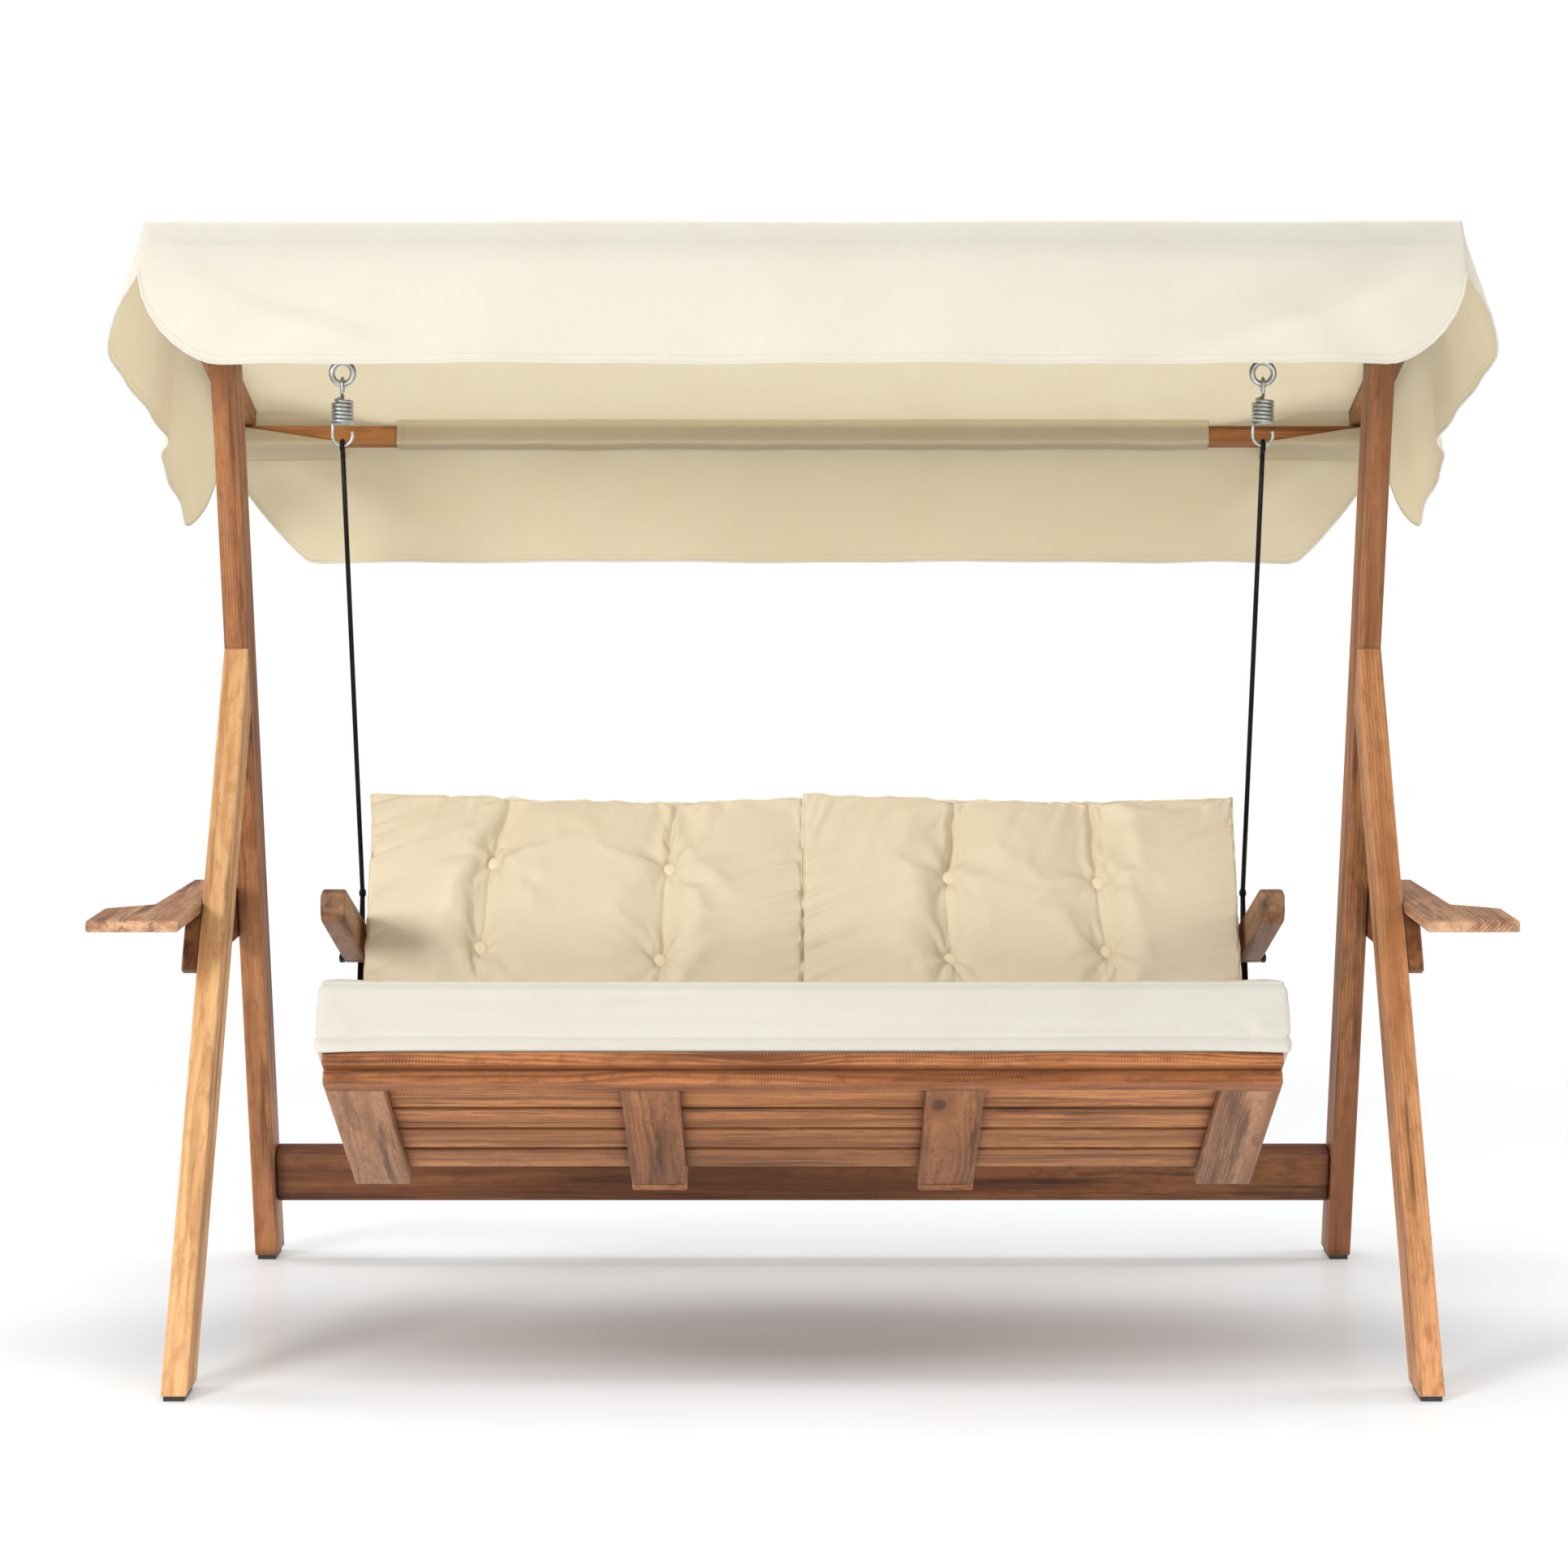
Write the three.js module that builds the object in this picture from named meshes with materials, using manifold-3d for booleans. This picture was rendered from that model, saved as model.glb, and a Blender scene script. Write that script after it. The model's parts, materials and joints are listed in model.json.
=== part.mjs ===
// Canopy swing bench: a timber swing stand, a spring-hung slatted bench with cushions, and a
// fabric canopy on two tilting rafters. Millimetres, +Z up, the front faces -Y, and the origin
// lies on the floor in the middle of the four feet.

import * as THREE from 'three';
import { mergeVertices } from 'three/addons/utils/BufferGeometryUtils.js';
import Module from 'manifold-3d';

const wasm = await Module();
wasm.setup();

// ---------------------------------------------------------------- driving dimensions

const GAP = 0.3; // clearance left between neighbouring pieces
const TIMBER = 40; // frame timber thickness
const TIMBER_DEPTH = 90; // frame timber depth
const BOARD = 20; // slat thickness
const BEARER = 22; // thickness of the boards that carry the slats
const BOARD_WIDTH = 90;
const ARRIS = 3; // rounding of timber edges

const HALF_STANCE = 608.5; // front toes to the middle of the feet
const FRAME_INNER = 920; // inner faces of legs and posts
const FRAME_OUTER = FRAME_INNER + TIMBER;
const GLIDE = 8; // foot pad height
const KNEE = { y: 717, z: 1092 }; // top of the front leg on the post's front face
const POST_LEAN = 0.37; // backward run of the post per unit of height, going down
const POST_HEEL = 1121; // front face of the post where it would meet the floor
const POST_TOP = 1634;

const BEAM = { back: 45, bottom: 1571, height: 38 };
const CROSSBAR_Z = 155;
const RAIL = { bottom: 590, top: 680, thickness: 25, back: 982, corner: 22 };
const TRAY = { thickness: 18, front: 188, back: 808, wide: 1102, narrow: 1032, tail: 1023 };
const TRAY_TAPER = { from: 364, to: 424 }; // the tray narrows between these depths

const HOOK_X = 752; // hanging points, left and right
const RING = { z: 1546, radius: 17.5, wire: 5 };
const SPRING_WIRE = 2.8;
const COIL = { radius: 15.75, top: 1500.5, bottom: 1464, turns: 5.5 };
const HOOK = { radius: 16.5, z: 1444.5 };
const EYE_NUT = { collar: 9, stud: 5, studLength: 24 };
const ROD = 4; // hanger rod radius
const ROD_EYE = { z: 1427.3, radius: 8 };
const SPLIT = { y: 928, z: 663 }; // where the hanger rod forks

const BOLT = { radius: 4, head: 8, headHeight: 6, depth: 30 };

const BENCH_HALF = 731;
const SEAT = { y: 116, z: 507, tilt: 25.8 }; // front edge of the slats' top, degrees
const BACK = { y: 618.5, z: 264, tilt: 30 }; // foot of the backrest's front plane
const BACK_LENGTH = 554;
const CUSHION = { height: 112, half: 745, front: -12, depth: 536, rounding: 20 };
const BACK_CUSHION = { inner: 2, outer: 728, front: -145, back: -31, foot: 116, top: 604, rounding: 28 };
const ARMREST = { nose: { y: 454, z: 682 }, tail: { y: 815, z: 558 }, depth: 62, rounding: 5 };

const PIVOT = { y: 600, z: 1614 }; // canopy tilt knob
const RAFTER = { slope: 15.75, front: -478, back: 556, bottom: -12.5, height: 40 };
const REAR_BAR_HEIGHT = 28;
const COVER = { half: 1006, thickness: 3, front: 219, rear: 226, corner: 82 };
const KNOB = { lobe: 8, lobeReach: 11, hub: 13, thickness: 14 };

// ---------------------------------------------------------------- materials

const paint = (color, roughness, metalness = 0) => (
  new THREE.MeshStandardMaterial({ color, roughness, metalness })
);
const FINISH = {
  lightPine: paint(0xc48d58, 0.55),
  stainedPine: paint(0xa5683c, 0.55),
  darkPine: paint(0x8c5230, 0.6),
  greyPine: paint(0xa2775a, 0.65),
  canvas: paint(0xf4eedb, 0.9),
  ivory: paint(0xebe8dc, 0.9),
  beige: paint(0xe1d0aa, 0.9),
  zinc: paint(0xb9bdbd, 0.35, 0.9),
  blackSteel: paint(0x282624, 0.5, 0.6),
  blackPlastic: paint(0x1d1d1d, 0.6),
};

// ---------------------------------------------------------------- shape helpers

const X_AXIS = new THREE.Vector3(1, 0, 0);
const radians = THREE.MathUtils.degToRad;

// Turns a shape drawn as (y, z) and extruded along x into place.
const SIDEWAYS = new THREE.Matrix4().makeBasis(
  new THREE.Vector3(0, 1, 0),
  new THREE.Vector3(0, 0, 1),
  X_AXIS,
);

function extrude(shape, length, arris) {
  const bevel = {
    bevelThickness: arris,
    bevelSize: arris,
    bevelOffset: -arris,
    bevelSegments: 2,
  };
  return new THREE.ExtrudeGeometry(shape, {
    depth: length - 2 * arris,
    steps: 1,
    curveSegments: 3,
    bevelEnabled: arris > 0,
    ...bevel,
  }).translate(0, 0, arris);
}

// A slab seen from the side: outline points are [y, z], and x runs from x0 to x1.
function sideSlab(points, x0, x1, arris = ARRIS) {
  const shape = new THREE.Shape(points.map(([y, z]) => new THREE.Vector2(y, z)));
  const geometry = extrude(shape, x1 - x0, arris);
  return geometry.applyMatrix4(SIDEWAYS).translate(x0, 0, 0);
}

// A board with rounded edges that fills the box between two corners.
function board(low, high, arris = ARRIS) {
  const [x0, y0, z0] = low;
  const [x1, y1, z1] = high;
  return sideSlab([[y0, z0], [y1, z0], [y1, z1], [y0, z1]], x0, x1, arris);
}

function cylinder(radius, length, sides = 16) {
  return new THREE.CylinderGeometry(radius, radius, length, sides);
}

// A cylinder along x from x0 to x1 through (y, z).
function pin(radius, x0, x1, y, z, sides = 16) {
  const geometry = cylinder(radius, x1 - x0, sides).rotateZ(Math.PI / 2);
  return geometry.translate((x0 + x1) / 2, y, z);
}

// A round bar between two points.
function bar(radius, from, to, sides = 10) {
  const start = new THREE.Vector3(...from);
  const run = new THREE.Vector3(...to).sub(start);
  const turn = new THREE.Quaternion().setFromUnitVectors(
    new THREE.Vector3(0, 1, 0),
    run.clone().normalize(),
  );
  const geometry = cylinder(radius, run.length(), sides).applyQuaternion(turn);
  return geometry.translate(...start.addScaledVector(run, 0.5).toArray());
}

function wire(points, radius, steps, sides = 3) {
  const section = new THREE.Shape();
  section.absarc(0, 0, radius, 0, 2 * Math.PI);
  return new THREE.ExtrudeGeometry(section, {
    steps,
    curveSegments: sides,
    bevelEnabled: false,
    extrudePath: new THREE.CatmullRomCurve3(points, false, 'catmullrom', 0.5),
  });
}

function solid(geometry) {
  const bare = geometry.clone();
  bare.deleteAttribute('normal');
  bare.deleteAttribute('uv');
  const merged = mergeVertices(bare, 1e-4);
  return new wasm.Manifold(new wasm.Mesh({
    numProp: 3,
    vertProperties: new Float32Array(merged.attributes.position.array),
    triVerts: new Uint32Array(merged.index.array),
  }));
}

function fromSolid(body) {
  const { vertProperties, triVerts } = body.getMesh();
  const geometry = new THREE.BufferGeometry();
  geometry.setAttribute('position', new THREE.BufferAttribute(vertProperties, 3));
  geometry.setIndex(new THREE.BufferAttribute(triVerts, 1));
  return geometry;
}

const join = (pieces) => fromSolid(pieces.map(solid).reduce((sum, piece) => sum.add(piece)));

function cut(geometry, tools) {
  return fromSolid(tools.map(solid).reduce((rest, tool) => rest.subtract(tool), solid(geometry)));
}

function place(parent, name, geometry, finish) {
  const mesh = new THREE.Mesh(geometry, finish);
  mesh.name = name;
  parent.add(mesh);
  return mesh;
}

// Mirrors a geometry left to right and keeps its faces pointing out.
function mirrored(geometry) {
  const copy = mergeVertices(geometry.clone().scale(-1, 1, 1));
  const index = copy.index.array;
  for (let i = 0; i < index.length; i += 3) {
    [index[i], index[i + 1]] = [index[i + 1], index[i]];
  }
  return copy;
}

// Places a right-hand piece and its mirror image.
function placePair(parent, name, geometry, finish) {
  place(parent, `${name}_right`, geometry, finish);
  place(parent, `${name}_left`, mirrored(geometry), finish);
}

// ---------------------------------------------------------------- swing stand

const postFront = (z) => POST_HEEL - POST_LEAN * z;
const POST_SLANT = Math.hypot(1, POST_LEAN); // slant length per unit of height
const POST_RUN = TIMBER_DEPTH * POST_SLANT; // depth of the post in a level cut
const LEG_LEAN = KNEE.y / KNEE.z;
const LEG_RUN = TIMBER_DEPTH * Math.hypot(1, LEG_LEAN);
const legFront = (z) => LEG_LEAN * z;

function frontLeg() {
  const seam = GAP * POST_SLANT;
  const heelMeets = (POST_HEEL - seam - LEG_RUN) / (LEG_LEAN + POST_LEAN);
  const toeMeets = (POST_HEEL - seam) / (LEG_LEAN + POST_LEAN);
  const outline = [
    [legFront(GLIDE), GLIDE],
    [legFront(GLIDE) + LEG_RUN, GLIDE],
    [legFront(heelMeets) + LEG_RUN, heelMeets],
    [legFront(toeMeets), toeMeets],
  ];
  return sideSlab(outline, FRAME_INNER, FRAME_OUTER);
}

function rearPost() {
  const outline = [
    [postFront(GLIDE), GLIDE],
    [postFront(GLIDE) + POST_RUN, GLIDE],
    [postFront(POST_TOP) + POST_RUN, POST_TOP],
    [postFront(POST_TOP), POST_TOP],
  ];
  const slab = sideSlab(outline, FRAME_INNER, FRAME_OUTER);
  const studDepth = TIMBER - 5;
  return cut(slab, [
    pin(BOLT.radius + GAP, FRAME_OUTER - studDepth, FRAME_OUTER + 5, PIVOT.y, PIVOT.z),
  ]);
}

// A board across the stand between the posts, turned to their lean.
function crossbar() {
  const half = FRAME_INNER - GAP;
  const geometry = board(
    [-half, -TIMBER / 2, -TIMBER_DEPTH / 2],
    [half, TIMBER / 2, TIMBER_DEPTH / 2],
  );
  const middle = postFront(CROSSBAR_Z) + POST_RUN / 2;
  return geometry.rotateX(Math.atan(POST_LEAN)).translate(0, middle, CROSSBAR_Z);
}

function mainBeam() {
  const half = FRAME_INNER - GAP;
  const beam = board(
    [-half, HALF_STANCE - BEAM.back, BEAM.bottom],
    [half, HALF_STANCE + BEAM.back, BEAM.bottom + BEAM.height],
  );
  const stud = cylinder(EYE_NUT.stud + GAP, 40).rotateX(Math.PI / 2);
  const holes = [-HOOK_X, HOOK_X].map((x) => (
    stud.clone().translate(x, HALF_STANCE, BEAM.bottom + 12)
  ));
  return cut(beam, holes);
}

function sideRail() {
  const { corner } = RAIL; // rounding of the lower front corner
  const front = (z) => legFront(z) + 2;
  const back = (z) => RAIL.back - POST_LEAN * (z - (RAIL.bottom + RAIL.top) / 2);
  const outline = [
    [front(RAIL.bottom) + corner, RAIL.bottom],
    [back(RAIL.bottom), RAIL.bottom],
    [back(RAIL.top), RAIL.top],
    [front(RAIL.top), RAIL.top],
    [front(RAIL.bottom + corner), RAIL.bottom + corner],
    [front(RAIL.bottom) + corner * 0.35, RAIL.bottom + corner * 0.25],
  ];
  const inner = FRAME_OUTER + GAP;
  return sideSlab(outline, inner, inner + RAIL.thickness);
}

function sideTray() {
  const shape = new THREE.Shape([
    [FRAME_OUTER + GAP, TRAY.front],
    [TRAY.wide, TRAY.front],
    [TRAY.wide, TRAY_TAPER.from],
    [TRAY.narrow, TRAY_TAPER.to],
    [TRAY.tail, TRAY.back],
    [FRAME_OUTER + GAP, TRAY.back],
  ].map(([x, y]) => new THREE.Vector2(x, y)));
  return extrude(shape, TRAY.thickness, ARRIS).translate(0, 0, RAIL.top + GAP);
}

function glide(y) {
  const rim = 4;
  return board(
    [FRAME_INNER + rim, y + rim, 0],
    [FRAME_OUTER - rim, y + LEG_RUN - 5 * rim, GLIDE - GAP],
    1,
  );
}

// A lifting-eye nut: a ring that faces the front under a collar and a stud in the beam.
function eyeNut() {
  const ring = new THREE.TorusGeometry(RING.radius, RING.wire, 8, 24).rotateX(Math.PI / 2);
  const collarTop = BEAM.bottom - GAP;
  const ringTop = RING.z + RING.radius;
  const collar = cylinder(EYE_NUT.collar, collarTop - ringTop + 2, 12).rotateX(Math.PI / 2);
  const stud = cylinder(EYE_NUT.stud, EYE_NUT.studLength, 12).rotateX(Math.PI / 2);
  return join([
    ring.translate(0, 0, RING.z),
    collar.translate(0, 0, (collarTop + ringTop) / 2 - 1),
    stud.translate(0, 0, collarTop + EYE_NUT.studLength / 3),
  ]).translate(HOOK_X, HALF_STANCE, 0);
}

function buildStand() {
  const stand = new THREE.Group();
  placePair(stand, 'front_leg', frontLeg(), FINISH.lightPine);
  placePair(stand, 'rear_post', rearPost(), FINISH.stainedPine);
  placePair(stand, 'side_rail', sideRail(), FINISH.darkPine);
  placePair(stand, 'side_tray', sideTray(), FINISH.greyPine);
  placePair(stand, 'front_glide', glide(legFront(GLIDE)), FINISH.blackPlastic);
  placePair(stand, 'rear_glide', glide(postFront(GLIDE)), FINISH.blackPlastic);
  placePair(stand, 'eye_nut', eyeNut(), FINISH.zinc);
  place(stand, 'rear_crossbar', crossbar(), FINISH.darkPine);
  place(stand, 'main_beam', mainBeam(), FINISH.stainedPine);
  return stand;
}

// ---------------------------------------------------------------- springs

// The top hook loops front to back over the ring's lower bar, the coil follows, and the
// bottom hook is an open C that faces the front.
function spring() {
  const barZ = RING.z - RING.radius;
  const reach = RING.wire + SPRING_WIRE + 1;
  const points = [new THREE.Vector3(0, reach, barZ - 13)];
  for (let i = 0; i <= 6; i += 1) {
    const angle = (Math.PI * i) / 6;
    points.push(new THREE.Vector3(0, reach * Math.cos(angle), barZ + reach * Math.sin(angle)));
  }
  points.push(new THREE.Vector3(0, -reach, barZ - 10));
  points.push(new THREE.Vector3(2, -reach - 3, COIL.top + 10));
  const perTurn = 10;
  const count = COIL.turns * perTurn;
  for (let i = 0; i <= count; i += 1) {
    const angle = -Math.PI / 2 + (2 * Math.PI * (i + 1.5)) / perTurn;
    const z = COIL.top + ((COIL.bottom - COIL.top) * i) / count;
    points.push(new THREE.Vector3(
      COIL.radius * Math.cos(angle),
      COIL.radius * Math.sin(angle),
      z,
    ));
  }
  for (let i = 1; i <= 8; i += 1) {
    const angle = radians(150 + 30 * i);
    points.push(new THREE.Vector3(
      HOOK.radius * Math.cos(angle),
      0,
      HOOK.z + HOOK.radius * Math.sin(angle),
    ));
  }
  return wire(points, SPRING_WIRE, 130).translate(HOOK_X, HALF_STANCE, 0);
}

function buildSprings() {
  const springs = new THREE.Group();
  const geometry = spring();
  place(springs, 'spring_right', geometry, FINISH.zinc);
  place(springs, 'spring_left', geometry.clone().translate(-2 * HOOK_X, 0, 0), FINISH.zinc);
  return springs;
}

// ---------------------------------------------------------------- bench

// A point given in the backrest's frame: y behind the slats' front plane, z up from its foot.
function backPoint(y, z) {
  const lean = radians(BACK.tilt);
  return {
    y: BACK.y + y * Math.cos(lean) + z * Math.sin(lean),
    z: BACK.z - y * Math.sin(lean) + z * Math.cos(lean),
  };
}

const EYE = { radius: 12, thickness: 7 };
const SIDE_BOARD = { front: -30, back: 60 }; // about the slats' front plane
const LOWER_BOLT = { y: -12, z: 45 };
const UPPER_BOLT = { y: 40, z: 235 };
const ARM_BOLTS = [{ y: 2, z: 352 }, { y: 34, z: 366 }];

function hangerRod() {
  const x = HOOK_X - BENCH_HALF; // rod plane, outward of the bench side
  const eyeX = GAP + EYE.thickness / 2;
  const eye = new THREE.TorusGeometry(ROD_EYE.radius, ROD, 8, 16).rotateY(Math.PI / 2);
  const pieces = [eye.translate(x, HALF_STANCE, ROD_EYE.z)];
  const lean = Math.atan2(SPLIT.y - HALF_STANCE, ROD_EYE.z - SPLIT.z);
  const start = [
    x,
    HALF_STANCE + ROD_EYE.radius * Math.sin(lean),
    ROD_EYE.z - ROD_EYE.radius * Math.cos(lean),
  ];
  const fork = [x, SPLIT.y, SPLIT.z];
  pieces.push(bar(ROD, start, fork));
  pieces.push(new THREE.SphereGeometry(ROD + 0.4, 10, 8).translate(...fork));
  const holes = [];
  for (const bolt of [LOWER_BOLT, UPPER_BOLT]) {
    const { y, z } = backPoint(bolt.y, bolt.z);
    pieces.push(bar(ROD, fork, [eyeX, y, z]));
    pieces.push(pin(EYE.radius, GAP, GAP + EYE.thickness, y, z));
    holes.push(pin(BOLT.radius + GAP, -20, 40, y, z));
  }
  // The branches are trimmed flat where they reach the bench's side and the bolt heads.
  holes.push(board([-20, 500, 200], [GAP, 1000, 800], 0));
  for (const bolt of [LOWER_BOLT, UPPER_BOLT]) {
    const { y, z } = backPoint(bolt.y, bolt.z);
    holes.push(pin(BOLT.head + 1, GAP + EYE.thickness, 40, y, z));
  }
  return cut(join(pieces), holes).translate(BENCH_HALF, 0, 0);
}

// A cap-headed bolt whose shank runs into the side board.
function sideBolt(bolt, headX) {
  const { y, z } = backPoint(bolt.y, bolt.z);
  const head = pin(BOLT.head, headX, headX + BOLT.headHeight, y, z, 12);
  const shank = pin(BOLT.radius, BENCH_HALF - BOLT.depth, headX + 1, y, z, 12);
  return join([head, shank]);
}

function buildHangers(bench) {
  placePair(bench, 'hanger_rod', hangerRod(), FINISH.blackSteel);
  const headX = BENCH_HALF + EYE.thickness + 2 * GAP;
  placePair(bench, 'hanger_bolt_lower', sideBolt(LOWER_BOLT, headX), FINISH.blackPlastic);
  placePair(bench, 'hanger_bolt_upper', sideBolt(UPPER_BOLT, headX), FINISH.blackPlastic);
}

const BEARER_XS = [-686, -234, 234, 686];
const BEARER_FRONT = 62.5;
const BEARER_BACK = 570;
const BATTEN = { front: 26.5, back: 58.5 };
const SLAT_FRONTS = [0, 126, 236, 346, 456];

function buildSeat() {
  const seat = new THREE.Group();
  seat.position.set(0, SEAT.y, SEAT.z);
  seat.rotation.x = -radians(SEAT.tilt);
  const under = -BOARD - GAP;
  BEARER_XS.forEach((x, i) => {
    const geometry = board(
      [x - BOARD_WIDTH / 2, BEARER_FRONT, under - BEARER],
      [x + BOARD_WIDTH / 2, BEARER_BACK, under],
    );
    place(seat, `seat_bearer_${i + 1}`, geometry, FINISH.greyPine);
  });
  SLAT_FRONTS.forEach((front, i) => {
    const rearmost = i === SLAT_FRONTS.length - 1;
    const half = rearmost ? BENCH_HALF - TIMBER - 2 * GAP : BENCH_HALF;
    const geometry = board([-half, front, -BOARD], [half, front + BOARD_WIDTH, 0]);
    place(seat, `seat_slat_${i + 1}`, geometry, FINISH.darkPine);
  });
  const batten = board(
    [-BENCH_HALF, BATTEN.front, under - BEARER],
    [BENCH_HALF, BATTEN.back, under],
  );
  place(seat, 'seat_front_batten', batten, FINISH.darkPine);
  const cushion = board(
    [-CUSHION.half, CUSHION.front, 2 * GAP],
    [CUSHION.half, CUSHION.front + CUSHION.depth, CUSHION.height],
    CUSHION.rounding,
  );
  place(seat, 'seat_cushion', cushion, FINISH.ivory);
  return seat;
}

const BACK_SLATS = { count: 5, first: 12 };
const BACK_TILT_OFF_SEAT = Math.tan(radians(BACK.tilt - SEAT.tilt));

function sideBoard() {
  const foot = (y) => -(BOARD - GAP) + y * BACK_TILT_OFF_SEAT;
  const outline = [
    [SIDE_BOARD.front, foot(SIDE_BOARD.front)],
    [SIDE_BOARD.back, foot(SIDE_BOARD.back)],
    [SIDE_BOARD.back, BACK_LENGTH],
    [SIDE_BOARD.front, BACK_LENGTH],
  ];
  const slab = sideSlab(outline, BENCH_HALF - TIMBER, BENCH_HALF);
  const bolts = [LOWER_BOLT, UPPER_BOLT, ...ARM_BOLTS];
  const inside = BENCH_HALF - BOLT.depth - 1;
  return cut(slab, bolts.map(({ y, z }) => (
    pin(BOLT.radius + GAP, inside, BENCH_HALF + 5, y, z, 12)
  )));
}

function buildBack() {
  const back = new THREE.Group();
  back.position.set(0, BACK.y, BACK.z);
  back.rotation.x = -radians(BACK.tilt);
  placePair(back, 'back_side_board', sideBoard(), FINISH.darkPine);
  const half = BENCH_HALF - TIMBER - GAP;
  const pitch = (BACK_LENGTH - BOARD_WIDTH - BACK_SLATS.first) / (BACK_SLATS.count - 1);
  for (let i = 0; i < BACK_SLATS.count; i += 1) {
    const low = BACK_SLATS.first + i * pitch;
    const geometry = board([-half, 0, low], [half, BOARD, low + BOARD_WIDTH]);
    place(back, `back_slat_${i + 1}`, geometry, FINISH.darkPine);
  }
  [BEARER_XS[1], BEARER_XS[2]].forEach((x, i) => {
    const geometry = board(
      [x - BOARD_WIDTH / 2, BOARD + GAP, -BOARD - BEARER],
      [x + BOARD_WIDTH / 2, BOARD + GAP + BEARER, BACK_LENGTH],
    );
    place(back, `back_upright_${i + 1}`, geometry, FINISH.darkPine);
  });
  const { inner, outer, front, back: rear, foot, top, rounding } = BACK_CUSHION;
  const cushion = board([inner, front, foot], [outer, rear, top], rounding);
  placePair(back, 'back_cushion', cushion, FINISH.beige);
  return back;
}

// A board on edge that falls towards the back, with its nose corners cut.
function armrest() {
  const { nose, tail, depth, rounding } = ARMREST;
  const outline = [
    [nose.y, nose.z],
    [nose.y + 12, nose.z - 18],
    [tail.y, tail.z],
    [tail.y + depth / 2, tail.z + depth * 0.87],
    [nose.y + 28, nose.z + 34],
    [nose.y + 4, nose.z + 30],
  ];
  const inner = BENCH_HALF + GAP;
  const slab = sideSlab(outline, inner, inner + TIMBER, rounding);
  return cut(slab, ARM_BOLTS.map((bolt) => {
    const { y, z } = backPoint(bolt.y, bolt.z);
    return pin(BOLT.radius + GAP, inner - 5, inner + TIMBER + 5, y, z, 12);
  }));
}

function armBolts(bolt) {
  return sideBolt(bolt, BENCH_HALF + TIMBER + 2 * GAP);
}

function buildBench() {
  const bench = new THREE.Group();
  bench.add(buildSeat());
  bench.add(buildBack());
  buildHangers(bench);
  placePair(bench, 'armrest', armrest(), FINISH.greyPine);
  placePair(bench, 'arm_bolt_front', armBolts(ARM_BOLTS[0]), FINISH.blackPlastic);
  placePair(bench, 'arm_bolt_rear', armBolts(ARM_BOLTS[1]), FINISH.blackPlastic);
  return bench;
}

// ---------------------------------------------------------------- canopy

// Canopy frame: y runs back and down along the rafters, z is square to them, and the tilt
// pivot is the origin.
const ROOF = RAFTER.bottom + RAFTER.height + GAP; // underside of the cloth on the rafters
const TIED_HALF = 709; // half length of the sleeve that ties the cloth to the rear bar
const LOOSE_HALF = 925; // from here outward the cloth lies on the rafters' level
const CLOTH_EASE = 14; // lets the front valance hang plumb in front of the leaning bar
const DIP_START = 150; // behind the pivot, where the roof begins to dip to the rear bar
const KNOB_BULGE = { height: 14, length: 170 }; // rise of the cloth over each tilt knob
const END_CUT = { front: 112, rear: 140, roundness: 1.6 }; // rounded ends of a valance
const END_FLARE = 0.02; // outward lean of the front and rear valances
const CORNER_FLARE = 6;

// Hem of the side valances, front to rear: share of the length, depth and flare.
const SIDE_HEM = [
  [0, 82, 6],
  [0.07, 128, 58],
  [0.16, 160, 74],
  [0.32, 176, 52],
  [0.5, 192, 26],
  [0.62, 200, 58],
  [0.74, 222, 56],
  [0.85, 240, 50],
  [0.93, 165, 28],
  [1, 82, 6],
];

// Underside of the roof cloth: flat on the rafters, and drawn down to the rear bar between them.
function roofHeight(x, y) {
  const edge = THREE.MathUtils.smoothstep(LOOSE_HALF - Math.abs(x), 0, LOOSE_HALF - TIED_HALF);
  const rear = THREE.MathUtils.clamp((y - DIP_START) / (RAFTER.back - DIP_START), 0, 1);
  return ROOF - RAFTER.height * edge * rear;
}

// Half width of the roof, eased outward where the cloth passes over the tilt knobs.
function roofHalf(y) {
  return COVER.half + KNOB_BULGE.height * Math.exp(-((y / KNOB_BULGE.length) ** 2));
}

// Depth and outward flare of the side valance's hem.
function sideHem(y) {
  const along = (y - RAFTER.front) / (RAFTER.back - RAFTER.front);
  const share = THREE.MathUtils.clamp(along, 0, 1);
  const next = Math.max(1, SIDE_HEM.findIndex(([place]) => place >= share));
  const [before, after] = [SIDE_HEM[next - 1], SIDE_HEM[next]];
  const t = (share - before[0]) / (after[0] - before[0]);
  return {
    depth: THREE.MathUtils.lerp(before[1], after[1], t),
    outX: THREE.MathUtils.lerp(before[2], after[2], t),
    outY: 0,
  };
}

// Depth of the front or rear valance's hem, which is level and ends in a rounded cut.
function endHem(x, y, side) {
  const level = COVER[side] + (roofHeight(x, y) - roofHeight(0, y)) / Math.cos(radians(RAFTER.slope));
  const inside = 1 - Math.min((roofHalf(y) - Math.abs(x)) / END_CUT[side], 1);
  const rise = (1 - inside ** END_CUT.roundness) ** (1 / END_CUT.roundness);
  const depth = COVER.corner + (level - COVER.corner) * rise;
  return { depth, outX: 0, outY: depth * END_FLARE };
}

function valanceHem(x, y, side) {
  if (side === 'corner') {
    return { depth: COVER.corner, outX: CORNER_FLARE, outY: COVER.corner * END_FLARE };
  }
  return side === 'side' ? sideHem(y) : endHem(x, y, side);
}

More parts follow.
